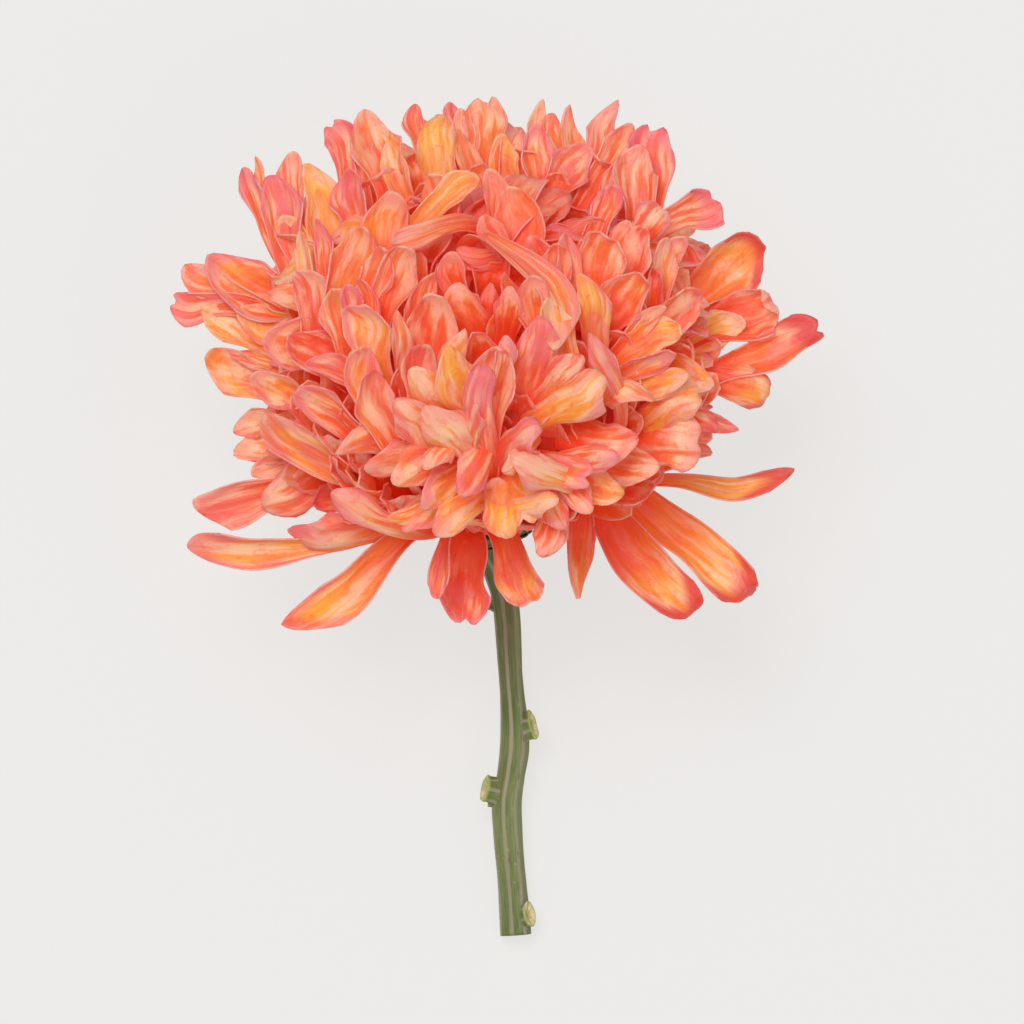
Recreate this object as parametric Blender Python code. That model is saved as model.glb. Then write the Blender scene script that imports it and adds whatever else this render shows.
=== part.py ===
"""A cut chrysanthemum lying on its back: stem, involucre and a double bloom of ray florets.

The flower is drawn in a facing frame, in millimetres: x to the right, y up the stem and z toward
the eye, with the origin in the middle of the receptacle. lay_down then turns it onto the surface.
"""

import math
from collections import namedtuple

import bmesh
import bpy
import numpy as np
from mathutils import Vector

MM = 0.001

# How the flower lies: its turn from the facing frame, and the shift to the middle of its footprint
LYING_TURN = math.radians(10.5)
LYING_SHIFT = np.array([-1.0, 3.6, 30.45])
FLOOR_LAYER = 0.2
FLOOR_LAYERS = 3

# The eye that the facing frame's x and y are read from
EYE_DISTANCE = 1500.0
EYE_AIM = np.array([4.4, -2.4])
EYE_WAY = np.array([0.0, 0.0, 1.0])

# The bloom: a ball flattened along its axis, with a pocket at the crown
AXIS_TILT = math.radians(40.0)
AXIS = np.array([0.0, math.cos(AXIS_TILT), math.sin(AXIS_TILT)])
FRONT = np.array([0.0, -math.sin(AXIS_TILT), math.cos(AXIS_TILT)])
SIDE = np.array([1.0, 0.0, 0.0])
BALL_HEIGHT = 32.0
BALL_RADIUS = 52.0
BALL_HALF_DEPTH = 45.0
BALL_CENTRE = BALL_HEIGHT * AXIS
POCKET = np.array([-1.0, 47.0])
POCKET_DEPTH = 18.0
POCKET_REACH = 7.5
CORE_SCALE = 0.8
CORE_FOOT_RADIUS = 12.5
CORE_SHOULDER = 26.0
CORE_POCKET_DEPTH = 15.0
CORE_POCKET_REACH = 9.0
CORE_SEGMENTS = 18
CORE_RINGS = 10
ROOT_SINK = 4.5

# Ray florets: where they leave the receptacle, how they arch, and the section and length of a blade
ROOT_RADIUS = 8.0
ROOT_HEIGHT = 3.0
FORESHORTENING = 1.1
LEAST_OUTWARD = 0.3
MOST_OUTWARD = 0.9
ARCH = 9.0
BOW = 0.1
BOW_TO_EYE = 0.6
BOW_PLACE = 0.55
FACE_TO_EYE = 0.65
LEAST_KEEL = 1.0
KEEL_SHARE = 0.8
TIP_NARROWING = 0.6
MOST_PULLED_BACK = 0.4
ROOT_WIDTH = 0.35
BASE_WIDTH = 0.74
BROADEST = 0.6
LONG_FLORET = 26.0
LONG_STATIONS = (0.0, 0.45, 0.8, 1.0)
SHORT_STATIONS = (0.0, 0.66, 1.0)
TIP_LENGTHS = {"round": 0.55, "point": 1.15, "notch": 0.3, "blunt": 0.32, "hood": 0.5}

# Stem: middle line and radius, then the neck's radii at heights along the bloom's axis
STEM_LINE = (
    (5.1, -87.6, -11.5, 3.1), (4.5, -79.0, -11.5, 2.9), (3.5, -67.0, -11.5, 2.9), (3.3, -61.0, -11.5, 3.0),
    (4.1, -55.5, -11.5, 2.85), (4.8, -50.5, -11.5, 2.95), (4.8, -45.0, -11.5, 2.75), (4.4, -39.5, -11.5, 2.5),
    (4.0, -34.5, -11.5, 2.4), (3.7, -29.0, -11.5, 2.5), (3.4, -24.0, -11.6, 2.65), (2.8, -19.0, -11.7, 2.75),
    (1.6, -14.6, -11.0, 2.9),
)
NECK = ((-13.6, 3.1), (-10.3, 3.3))
STEM_SIDES = 16
STEM_RIB = 0.04
STEM_STEP = 4.0

# Cut leaf stalks, and the last the small scale under the neck: foot, end, and radius at each
STALKS = (
    ((7.0, -47.0), (9.3, -43.9), 2.5, 1.7),
    ((1.4, -60.6), (-1.6, -57.2), 2.6, 1.9),
    ((6.6, -84.4), (8.5, -82.2), 2.4, 1.6),
    ((0.8, -22.4), (-0.9, -19.3), 1.2, 0.35),
)
STALK_SIDES = 8

# Involucre: its cup's profile as height along the axis and radius, and its rows of bracts as count,
# foot height, foot radius, tip height and tip radius
CUP_PROFILE = ((-10.0, 3.4), (-8.6, 5.0), (-6.0, 7.4), (-3.0, 9.2), (-0.3, 9.8))
CUP_SIDES = 16
BRACT_ROWS = ((8, -8.4, 4.6, -3.6, 10.0), (11, -5.0, 7.4, -0.6, 11.4))
BRACT_WIDTH = 5.0
BRACT_KEEL = 1.0

# Where a floret's tip and base are seen, its width, how far its tip stands off the ball, how far it
# is cupped toward the eye (below 0, away from it), and the form of its tip
Floret = namedtuple("Floret", "x y base_x base_y width lift cup tip")

CREST = (
    Floret(-48.8, 67.0, -45.6, 57.0, 5.0, 0, 0.4, "round"),
    Floret(-44.0, 65.6, -41.0, 53.0, 9.0, 2, 0.5, "round"),
    Floret(-40.2, 70.0, -38.8, 58.0, 6.5, 0, 0.4, "round"),
    Floret(-36.0, 68.4, -32.0, 48.0, 10.0, 3, 0.8, "point"),
    Floret(-28.0, 66.6, -27.0, 57.0, 8.5, 5, 0.6, "round"),
    Floret(-32.6, 75.6, -29.0, 67.0, 6.5, -2, 0.3, "notch"),
    Floret(-26.6, 75.2, -26.0, 66.0, 5.5, -2, 0.3, "round"),
    Floret(-23.0, 78.4, -21.0, 66.0, 11.0, 0, 0.5, "round"),
    Floret(-19.4, 73.6, -18.0, 63.0, 7.0, 3, 0.4, "point"),
    Floret(-14.6, 79.4, -14.0, 72.0, 5.0, -3, 0.3, "round"),
    Floret(-11.6, 77.4, -10.0, 67.0, 10.0, 4, -0.4, "round"),
    Floret(-9.0, 79.4, -6.4, 71.0, 6.5, -4, 0.3, "round"),
    Floret(-5.8, 78.4, -4.0, 70.0, 5.0, -2, 0.3, "round"),
    Floret(-1.0, 81.4, -0.6, 70.0, 9.5, -1, 0.5, "notch"),
    Floret(-6.2, 74.8, -3.0, 65.0, 7.0, 3, 0.4, "point"),
    Floret(3.6, 73.4, 3.6, 64.0, 7.0, 2, 0.4, "round"),
    Floret(10.2, 80.4, 9.0, 71.0, 5.0, -2, 0.3, "point"),
    Floret(10.0, 75.6, 11.0, 60.0, 6.5, 4, 0.5, "round"),
    Floret(12.4, 77.6, 14.0, 69.0, 6.0, -2, 0.3, "round"),
    Floret(16.6, 79.0, 16.6, 68.0, 6.5, -2, 0.4, "point"),
    Floret(25.0, 80.4, 21.6, 71.0, 6.0, -2, 0.4, "point"),
    Floret(21.0, 70.6, 13.0, 62.0, 9.0, 4, 0.5, "round"),
    Floret(28.4, 75.6, 23.0, 67.0, 7.0, 0, 0.4, "round"),
    Floret(33.6, 75.6, 32.0, 62.0, 10.0, -1, 0.5, "notch"),
    Floret(32.0, 70.6, 30.0, 59.0, 9.0, 3, 0.7, "round"),
    Floret(26.6, 69.0, 24.0, 61.0, 7.0, 3, 0.4, "point"),
    Floret(25.4, 63.4, 22.0, 56.0, 7.0, 4, 0.4, "round"),
    Floret(7.0, 74.0, 6.0, 66.0, 6.0, 0, 0.4, "point"),
)

UPPER_RIGHT = (
    Floret(44.4, 61.6, 38.0, 57.0, 9.0, 0, 0.5, "blunt"),
    Floret(35.6, 57.6, 30.0, 53.0, 8.0, 4, -0.6, "hood"),
    Floret(53.6, 53.0, 42.0, 42.0, 12.0, 2, 0.8, "hood"),
    Floret(40.0, 52.0, 33.0, 46.6, 6.0, 4, 0.3, "round"),
    Floret(30.0, 56.2, 27.0, 45.0, 9.5, 3, 0.4, "notch"),
    Floret(35.0, 53.0, 33.0, 40.0, 7.0, 1, 0.4, "round"),
    Floret(25.0, 53.0, 21.0, 43.0, 10.0, 3, 0.4, "blunt"),
    Floret(56.6, 40.0, 43.0, 34.0, 10.0, 1, 0.6, "hood"),
    Floret(54.4, 43.8, 46.0, 39.0, 3.5, -1, 0.2, "point"),
    Floret(51.0, 37.0, 40.0, 32.0, 8.0, 3, 0.4, "round"),
    Floret(66.6, 35.6, 49.0, 27.6, 9.0, 2, 0.5, "round"),
    Floret(56.4, 21.0, 42.0, 25.0, 8.0, 0, -0.5, "hood"),
    Floret(50.0, 14.0, 42.0, 17.4, 4.0, -1, 0.2, "point"),
    Floret(39.0, 34.0, 30.0, 31.0, 8.0, 3, 0.4, "round"),
    Floret(42.6, 12.0, 26.0, 10.0, 12.0, 2, -0.4, "blunt"),
    Floret(61.2, 6.0, 38.0, 4.0, 5.0, -1, 0.5, "point"),
    Floret(32.0, 45.0, 22.0, 34.0, 9.0, 3, 0.5, "round"),
    Floret(42.0, 43.0, 32.0, 34.0, 10.0, 2, 0.5, "round"),
    Floret(18.0, 46.0, 21.4, 32.0, 8.0, 4, -0.4, "point"),
    Floret(13.6, 53.0, 16.0, 42.0, 6.0, 2, 0.4, "round"),
    Floret(37.0, 30.0, 26.0, 25.0, 6.0, 3, 0.4, "round"),
    Floret(40.0, 25.0, 30.0, 22.0, 6.0, 2, -0.4, "round"),
    Floret(33.0, 20.0, 22.0, 23.0, 7.0, 4, -0.5, "point"),
    Floret(42.0, 22.0, 30.0, 15.0, 8.0, 1, -0.4, "blunt"),
    Floret(22.0, 24.4, 11.0, 17.6, 8.0, 5, -0.5, "hood"),
    Floret(18.6, 28.6, 11.0, 21.0, 8.0, 3, -0.4, "round"),
    Floret(30.0, 12.0, 14.0, 14.0, 10.0, 3, -0.4, "round"),
    Floret(26.0, 8.0, 15.0, 8.0, 6.0, 5, -0.7, "round"),
)

LOWER_RIGHT = (
    Floret(52.4, -19.0, 22.0, 5.0, 9.0, 0, 0.5, "hood"),
    Floret(42.0, -21.6, 20.0, 0.0, 10.5, 1, 0.5, "hood"),
    Floret(18.6, -21.6, 18.6, -7.0, 4.5, 2, 0.3, "point"),
    Floret(10.0, -11.4, 13.0, -4.0, 8.0, 3, -0.4, "round"),
    Floret(20.6, -2.4, 16.0, 2.0, 7.0, 3, -0.4, "round"),
)

BOTTOM = (
    Floret(-7.0, -25.0, -5.0, -6.0, 10.0, 2, 0.4, "point"),
    Floret(8.0, -21.0, 3.0, -8.0, 8.0, 3, 0.3, "blunt"),
    Floret(-10.8, -20.0, -9.0, -9.0, 4.0, -2, 0.3, "round"),
    Floret(-12.0, -6.0, -4.0, 0.0, 8.0, 3, -0.5, "round"),
    Floret(2.0, -7.6, 2.0, -1.0, 12.0, 3, -0.5, "round"),
    Floret(14.0, 0.0, 7.0, -1.0, 6.0, 3, -0.5, "round"),
)

LOWER_LEFT = (
    Floret(-41.6, -25.6, -17.0, -7.0, 9.0, 0, 0.6, "point"),
    Floret(-60.8, -8.0, -38.0, -9.6, 7.5, 0, 0.6, "point"),
    Floret(-60.0, -2.4, -42.0, 2.0, 8.0, 1, 0.4, "hood"),
    Floret(-45.6, -2.4, -32.0, 6.0, 12.0, 2, -0.4, "round"),
    Floret(-41.0, -6.0, -26.0, -7.0, 12.0, 1, -0.5, "round"),
    Floret(-32.0, 1.0, -22.0, -4.0, 6.0, 3, -0.7, "round"),
    Floret(-19.0, 3.0, -10.0, 8.0, 9.0, 3, -0.4, "round"),
    Floret(-13.0, 6.0, -8.0, 12.0, 6.0, 3, -0.4, "round"),
    Floret(-7.0, 1.6, 0.0, 11.0, 8.0, 3, -0.5, "round"),
    Floret(4.4, 9.0, 14.0, 4.4, 7.0, 3, -0.4, "round"),
    Floret(8.0, 14.0, 5.0, 12.0, 8.0, 4, -0.7, "hood"),
)

LEFT = (
    Floret(-51.6, 9.0, -38.0, 11.0, 9.0, 0, 0.6, "round"),
    Floret(-51.6, 13.6, -44.0, 16.0, 6.0, 0, 0.4, "round"),
    Floret(-48.0, 5.0, -40.0, 8.0, 5.0, 1, 0.4, "round"),
    Floret(-45.6, 17.4, -26.0, 4.0, 8.0, 5, 0.3, "round"),
    Floret(-39.6, 22.0, -28.0, 15.0, 8.0, 3, 0.5, "round"),
    Floret(-57.0, 30.0, -42.0, 22.0, 9.0, 2, 0.4, "round"),
    Floret(-48.4, 25.0, -38.0, 20.0, 8.0, 2, 0.4, "round"),
    Floret(-45.6, 34.0, -30.0, 31.0, 12.0, 3, 0.7, "round"),
    Floret(-42.0, 31.0, -30.0, 26.0, 10.0, 1, 0.5, "round"),
    Floret(-37.4, 27.6, -26.0, 24.0, 6.0, 5, 0.3, "point"),
    Floret(-56.6, 40.0, -44.0, 31.0, 9.0, 0, 0.4, "round"),
    Floret(-51.0, 38.4, -40.0, 34.0, 8.0, 2, 0.4, "round"),
    Floret(-58.0, 47.6, -36.0, 39.0, 12.0, 2, 0.5, "round"),
    Floret(-62.0, 46.4, -53.0, 42.0, 8.0, -2, 0.4, "round"),
    Floret(-64.4, 39.6, -55.0, 39.0, 7.0, -3, 0.3, "notch"),
    Floret(-52.4, 29.6, -42.0, 26.4, 4.0, 3, 0.2, "point"),
)

UPPER_LEFT = (
    Floret(-40.0, 57.6, -38.0, 42.0, 9.0, 3, 0.4, "round"),
    Floret(-26.0, 55.6, -29.0, 44.0, 10.0, 3, 0.4, "round"),
    Floret(-38.0, 47.0, -35.0, 36.0, 9.0, 3, 0.5, "round"),
    Floret(-21.0, 51.0, -24.0, 42.0, 8.0, 4, 0.4, "round"),
    Floret(-31.0, 43.0, -29.0, 33.0, 8.0, 3, 0.4, "round"),
    Floret(-15.0, 51.0, -21.0, 40.0, 9.0, 4, 0.5, "round"),
    Floret(-19.0, 62.4, -21.0, 50.0, 11.0, 3, 0.5, "round"),
    Floret(-26.0, 40.0, -23.0, 29.0, 9.5, 4, 0.5, "blunt"),
    Floret(-19.6, 51.0, -9.0, 55.0, 6.0, 4, -0.5, "round"),
)

CROWN = (
    Floret(-2.4, 65.6, -10.0, 60.0, 7.0, 3, 0.5, "round"),
    Floret(-11.0, 66.0, -9.0, 54.0, 10.0, 2, 0.5, "round"),
    Floret(5.6, 63.6, 6.0, 50.0, 12.0, 2, 0.5, "round"),
    Floret(1.0, 66.6, 1.0, 58.0, 6.0, 0, 0.4, "round"),
    Floret(-2.0, 57.0, 2.0, 51.0, 7.0, -2, 0.4, "round"),
    Floret(13.0, 30.0, 8.0, 49.0, 10.0, 4, -0.6, "round"),
    Floret(-5.6, 44.0, -4.0, 30.0, 9.5, 3, -0.5, "round"),
    Floret(0.4, 42.6, -0.4, 31.0, 6.0, 0, -0.4, "point"),
    Floret(4.0, 42.6, 3.0, 33.0, 6.0, 1, -0.4, "round"),
    Floret(-10.0, 42.0, -12.0, 28.0, 12.0, 2, 0.5, "round"),
    Floret(-14.0, 32.0, -14.0, 22.0, 9.0, 4, 0.5, "round"),
    Floret(-5.4, 34.4, -8.0, 26.0, 8.0, 3, -0.4, "point"),
    Floret(-8.0, 31.0, -3.0, 18.0, 9.0, 3, -0.4, "round"),
    Floret(10.0, 36.6, 7.0, 21.0, 9.0, 4, -0.6, "round"),
    Floret(3.0, 31.0, 0.0, 13.0, 9.0, 4, 0.6, "round"),
    Floret(-17.0, 25.6, -5.0, 16.0, 9.0, 3, -0.5, "round"),
    Floret(-19.0, 20.0, -13.0, 12.0, 9.0, 2, -0.4, "round"),
    Floret(-13.0, 19.0, -5.0, 11.0, 9.5, 5, -0.6, "round"),
    Floret(-25.0, 26.0, -21.0, 15.0, 9.0, 2, 0.5, "round"),
    Floret(-27.0, 31.0, -24.0, 20.0, 9.0, 3, 0.5, "round"),
)

SEEN_FLORETS = CREST + UPPER_RIGHT + LOWER_RIGHT + BOTTOM + LOWER_LEFT + LEFT + UPPER_LEFT + CROWN

# How much the florets placed by rule differ in turn, width, reach and height
TURN_DRAW = 0.2
WIDTH_DRAW = (0.85, 1.1)
REACH_DRAW = (0.97, 1.03)
HEIGHT_DRAW = 3.0
HIDDEN_CUP = 0.4
HIDDEN_SEED = 15
FILL_BOW_PLACE = 0.7

# Rows of florets on the hidden back: height along the axis, radius, count round the ring and width
BACK_ROWS = (
    (8.0, 58.0, 15, 10.5), (20.0, 61.0, 16, 11.0), (34.0, 59.0, 15, 11.0), (48.0, 53.0, 13, 11.0),
    (60.0, 44.0, 11, 10.0),
)
BACK_REACH = 50.0
BACK_BASE = 0.52
BACK_ARCH = 6.0
BACK_BOW = 2.5
BEHIND_OUTLINE = 6.0

# Rows of short florets that close the dome where the eye sees it edge-on: the angle of their tips
# from the crown, that of their bases, which is larger where they curve in, and how far the ball
# there may face the eye
DOME_ROWS = (
    (10.0, 24.0, 0.72), (24.0, 38.0, 0.66), (38.0, 52.0, 0.55), (52.0, 66.0, 0.4), (66.0, 80.0, 0.3),
    (92.0, 80.0, 0.2),
)
DOME_SCALE = 0.98
DOME_BASE_SCALE = 0.74
DOME_BOW = 0.03
DOME_POLAR_DRAW = math.radians(4.0)
DOME_FOOT = 22.0
DOME_BOW_PLACE = 0.4
DOME_SPACING = 17.0
DOME_WIDTH = 12.5

# Rows of short florets that lie on the core below the front ones: the height of their tips along the
# axis, how far each tip stands off the core, and how far round they go
APRON_ROWS = ((9.0, 2.0), (18.5, 2.5), (29.0, 3.5), (40.0, 5.0))
APRON_TURN = math.radians(105.0)
APRON_SHOWN = 16.0
APRON_SPACING = 20.0
APRON_WIDTH = 17.0


def unit(vectors):
    return vectors / np.linalg.norm(vectors, axis=-1, keepdims=True)


def blend(start, end, share):
    return (1 - share) * start + share * end


def ball_front(x, y):
    """Height toward the eye of the bloom's surface at x, y, or of its outline beyond that."""
    dx, dy = x - BALL_CENTRE[0], y - BALL_CENTRE[1]
    flattening = 1 / BALL_HALF_DEPTH**2 - 1 / BALL_RADIUS**2
    square = 1 / BALL_RADIUS**2 + flattening * AXIS[2] ** 2
    linear = flattening * AXIS[1] * AXIS[2] * dy
    constant = (dx**2 + dy**2) / BALL_RADIUS**2 + flattening * (AXIS[1] * dy) ** 2 - 1
    root = math.sqrt(max(linear**2 - square * constant, 0.0))
    off = math.hypot(x - POCKET[0], y - POCKET[1]) / POCKET_REACH
    return BALL_CENTRE[2] + (root - linear) / square - POCKET_DEPTH * math.exp(-0.5 * off**2)


def ball_normal(points):
    offset = points - BALL_CENTRE
    along = (offset @ AXIS)[..., None] * AXIS
    return unit(along / BALL_HALF_DEPTH**2 + (offset - along) / BALL_RADIUS**2)


def seen_at(x, y, z):
    """The point at height z that the eye sees at x, y."""
    nearer = 1 - z / EYE_DISTANCE
    return np.array([EYE_AIM[0] + (x - EYE_AIM[0]) * nearer, EYE_AIM[1] + (y - EYE_AIM[1]) * nearer, z])


def lay_down(points):
    """Facing frame in millimetres to the lying part in metres."""
    cos, sin = math.cos(LYING_TURN), math.sin(LYING_TURN)
    points = np.asarray(points)
    x, y, z = points[..., 0], points[..., 1], points[..., 2]
    return (np.stack([x, y * cos - z * sin, y * sin + z * cos], axis=-1) + LYING_SHIFT) * MM


class Spine:
    """A smooth line through its knots, read by the distance along it."""

    def __init__(self, knots):
        self.knots = np.array(knots)
        steps = np.linalg.norm(np.diff(self.knots, axis=0), axis=1)
        self.marks = np.concatenate([[0.0], np.cumsum(steps)])
        slopes = np.diff(self.knots, axis=0) / steps[:, None]
        share = (steps[:-1] / (steps[:-1] + steps[1:]))[:, None]
        middle = slopes[:-1] * (1 - share) + slopes[1:] * share
        first = 1.5 * slopes[0] - 0.5 * middle[0]
        last = 1.5 * slopes[-1] - 0.5 * middle[-1]
        self.slopes = np.vstack([first, middle, last])
        self.length = self.marks[-1]

    def at(self, along):
        """Points and directions at these distances."""
        piece = np.clip(np.searchsorted(self.marks, along, side="right") - 1, 0, len(self.marks) - 2)
        step = (self.marks[piece + 1] - self.marks[piece])[..., None]
        t = (along - self.marks[piece])[..., None] / step
        a, b = self.knots[piece], self.knots[piece + 1]
        da, db = self.slopes[piece] * step, self.slopes[piece + 1] * step
        points = (2 * t**3 - 3 * t**2 + 1) * a + (t**3 - 2 * t**2 + t) * da
        points += (3 * t**2 - 2 * t**3) * b + (t**3 - t**2) * db
        ways = (6 * t**2 - 6 * t) * (a - b) + (3 * t**2 - 4 * t + 1) * da + (3 * t**2 - 2 * t) * db
        return points, unit(ways[..., :3])


def root_under(base):
    """Where a floret that passes this point leaves the receptacle."""
    across = base - (base @ AXIS) * AXIS
    reach = min(ROOT_RADIUS / max(np.linalg.norm(across), 1e-6), 1.0)
    return ROOT_HEIGHT * AXIS + reach * across


def seen_spine(floret):
    """The spine of a floret that the eye sees, through its root, base, middle and tip."""
    tip = seen_at(floret.x, floret.y, ball_front(floret.x, floret.y) + floret.lift)
    shown = math.hypot(floret.x - floret.base_x, floret.y - floret.base_y)
    outward = min(max(1 - FORESHORTENING * shown / np.linalg.norm(tip), LEAST_OUTWARD), MOST_OUTWARD)
    base_z = outward * tip[2] + ARCH * 4 * outward * (1 - outward)
    base = seen_at(floret.base_x, floret.base_y, base_z)
    facing = unit(blend(ball_normal(0.5 * (base + tip)), EYE_WAY, BOW_TO_EYE))
    bow = -math.copysign(BOW, floret.cup) * np.linalg.norm(tip - base)
    middle = blend(base, tip, BOW_PLACE) + bow * facing
    return Spine([root_under(base), base, middle, tip])


def ray_at(turn):
    """The direction out from the axis at a turn from the front."""
    return math.cos(turn) * FRONT + math.sin(turn) * SIDE


def back_spines(draw):
    """Spines and widths of the long florets on the hidden back, row by row."""
    found = []
    for row, (height, radius, count, width) in enumerate(BACK_ROWS):
        for index in range(count):
            place = index + 0.5 * (row % 2) + draw.uniform(-TURN_DRAW, TURN_DRAW)
            ray = ray_at(2 * math.pi * place / count)
            reach = min(radius * draw.uniform(*REACH_DRAW), BACK_REACH / max(abs(ray[0]), 1e-6))
            tip = (height + draw.uniform(-HEIGHT_DRAW, HEIGHT_DRAW)) * AXIS + reach * ray
            size = width * draw.uniform(*WIDTH_DRAW)
            if tip[2] > ball_front(tip[0], tip[1]) - BEHIND_OUTLINE:
                continue
            base = BACK_BASE * tip + (BACK_ARCH + 0.1 * height) * AXIS
            middle = blend(base, tip, FILL_BOW_PLACE) + (BACK_BOW + 0.04 * height) * AXIS
            found.append((Spine([root_under(base), base, middle, tip]), size))
    return found


def ball_point(scale, polar, ray):
    """The point at an angle from the crown on the ball made larger or smaller."""
    along = BALL_HALF_DEPTH * math.cos(polar) * AXIS
    return BALL_CENTRE + scale * (along + BALL_RADIUS * math.sin(polar) * ray)


def dome_spines(draw):
    """Spines and widths of the short florets that close the dome."""
    found = []
    for tip_polar, base_polar, most_facing in DOME_ROWS:
        tip_polar, base_polar = math.radians(tip_polar), math.radians(base_polar)
        count = round(2 * math.pi * BALL_RADIUS * math.sin(max(tip_polar, base_polar)) / DOME_SPACING)
        for index in range(count):
            ray = ray_at(2 * math.pi * (index + draw.uniform(-TURN_DRAW, TURN_DRAW)) / count)
            polar = tip_polar + DOME_POLAR_DRAW * draw.uniform(-1.0, 1.0)
            scale = DOME_SCALE * draw.uniform(*REACH_DRAW)
            tip = ball_point(scale, polar, ray)
            size = DOME_WIDTH * draw.uniform(*WIDTH_DRAW)
            if ball_normal(tip)[2] > most_facing or tip @ AXIS < DOME_FOOT:
                continue
            base = ball_point(DOME_BASE_SCALE, base_polar, ray)
            middle = ball_point(scale - DOME_BOW, blend(base_polar, polar, DOME_BOW_PLACE), ray)
            found.append((Spine([root_under(base), base, middle, tip]), size))
    return found


def off_core(height, stand, ray):
    """A point that stands this far off the core's side."""
    return height * AXIS + (float(core_radius(np.array(height))) + stand) * ray


def apron_spines(draw):
    """Spines and widths of the short florets over the underside at the front."""
    found = []
    for height, stand in APRON_ROWS:
        foot = max(height - APRON_SHOWN, ROOT_HEIGHT)
        count = round(2 * APRON_TURN * float(core_radius(np.array(height))) / APRON_SPACING)
        for index in range(count):
            ray = ray_at(APRON_TURN * (2 * (index + 0.5 + draw.uniform(-TURN_DRAW, TURN_DRAW)) / count - 1))
            tip = off_core(height, stand * draw.uniform(*WIDTH_DRAW), ray)
            base = off_core(foot, -ROOT_SINK, ray)
            middle = off_core(blend(foot, height, BOW_PLACE), 1.0, ray)
            size = APRON_WIDTH * draw.uniform(*WIDTH_DRAW)
            found.append((Spine([root_under(base), base, middle, tip]), size))
    return found


def hidden_spines():
    """Spines and widths of every floret that is placed by rule."""
    draw = np.random.default_rng(HIDDEN_SEED)
    return back_spines(draw) + dome_spines(draw) + apron_spines(draw)


def half_width(width, along, spine):
    """Half a floret's width at a distance along its spine, from a narrow root to its broad end."""
    base = spine.marks[1]
    hidden = ROOT_WIDTH + (BASE_WIDTH - ROOT_WIDTH) * min(along / base, 1.0)
    shown = max(along - base, 0.0) / (spine.length - base)
    return 0.5 * width * (hidden + (1 - BASE_WIDTH) * math.sin(0.5 * math.pi * min(shown / BROADEST, 1.0)))


def floret_rows(spine, width, cup, tip, toward):
    """The corners of a keeled blade, three to a station: left edge, keel, right edge."""
    start = start_in_core(spine)
    shown = spine.length - start
    pulled_back = min(TIP_LENGTHS[tip] * width * 0.5, MOST_PULLED_BACK * shown)
    face = blend(ball_normal(spine.knots[2]), toward, FACE_TO_EYE)
    across = np.cross(spine.knots[3] - spine.knots[1], face)
    rows = []
    for share in LONG_STATIONS if shown > LONG_FLORET else SHORT_STATIONS:
        keel, way = spine.at(np.array(start + shown * share))
        edge, _ = spine.at(np.array(start + (shown - pulled_back) * share))
        side = unit(across - (across @ way) * way)
        up = np.cross(side, way)
        half = half_width(width, start + shown * share, spine)
        if share == 1.0:
            half *= TIP_NARROWING
        rise = 0.5 * math.copysign(max(abs(cup) * half * KEEL_SHARE, LEAST_KEEL), cup) * up
        rows.append((edge - side * half + rise, keel - rise, edge + side * half + rise))
    return lay_down(rows)


def rest_on_floor(rows, layer):
    """Lifts the blade's corners to the surface that the flower lies on, keel lowest, each in its layer."""
    lowest = (np.array([LEAST_KEEL, 0.0, LEAST_KEEL]) + FLOOR_LAYER * (layer % FLOOR_LAYERS)) * MM
    rows[..., 2] = np.maximum(rows[..., 2], lowest)
    return rows


def core_radius(height):
    """The core's radius at a height along the axis: a cone up to its shoulder, then a dome."""
    along = (height - BALL_HEIGHT) / (BALL_HALF_DEPTH * CORE_SCALE)
    dome = BALL_RADIUS * CORE_SCALE * np.sqrt(np.clip(1 - along**2, 0, None))
    rise = np.clip(height / CORE_SHOULDER, 0, 1)
    return np.minimum(dome, CORE_FOOT_RADIUS + (BALL_RADIUS * CORE_SCALE - CORE_FOOT_RADIUS) * rise)


def core_pocket(radius):
    """How deep the core's crown is sunk at a radius from the axis."""
    return CORE_POCKET_DEPTH * np.exp(-0.5 * (radius / CORE_POCKET_REACH) ** 2)


def start_in_core(spine):
    """The outermost distance along a spine that is well inside the core, where its root is sunk."""
    along = np.linspace(0, spine.length, 120)
    points = spine.at(along)[0]
    height = points @ AXIS
    radius = np.linalg.norm(points - height[:, None] * AXIS, axis=-1)
    inside = radius < core_radius(height + core_pocket(radius)) - ROOT_SINK
    return along[np.nonzero(inside)[0].max()] if inside.any() else 0.0


def mesh_from(name, shape):
    """A mesh of this closed shape, its faces pointing out."""
    if shape.calc_volume(signed=True) < 0:
        bmesh.ops.reverse_faces(shape, faces=shape.faces)
    mesh = bpy.data.meshes.new(name)
    shape.to_mesh(mesh)
    shape.free()
    return mesh


def blade_mesh(rows):
    """A closed mesh over a blade's corners."""
    shape = bmesh.new()
    rings = [[shape.verts.new(corner) for corner in row] for row in rows]
    for ring, beyond in zip(rings, rings[1:]):
        for near, far in ((0, 1), (1, 2)):
            shape.faces.new((ring[near], ring[far], beyond[far]))
            shape.faces.new((ring[near], beyond[far], beyond[near]))
        shape.faces.new((ring[2], ring[0], beyond[0]))
        shape.faces.new((ring[2], beyond[0], beyond[2]))
    shape.faces.new(rings[0][::-1])
    shape.faces.new(rings[-1])
    return mesh_from("blade", shape)


def skin_rings(name, rings):
    """A closed mesh over rings of points, with flat ends."""
    shape = bmesh.new()
    rings = [[shape.verts.new(point) for point in ring] for ring in rings]
    for ring, beyond in zip(rings, rings[1:]):
        for index in range(len(ring)):
            after = (index + 1) % len(ring)
            shape.faces.new((ring[index], ring[after], beyond[after], beyond[index]))
    shape.faces.new(rings[0][::-1])
    shape.faces.new(rings[-1])
    return mesh_from(name, shape)


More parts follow.
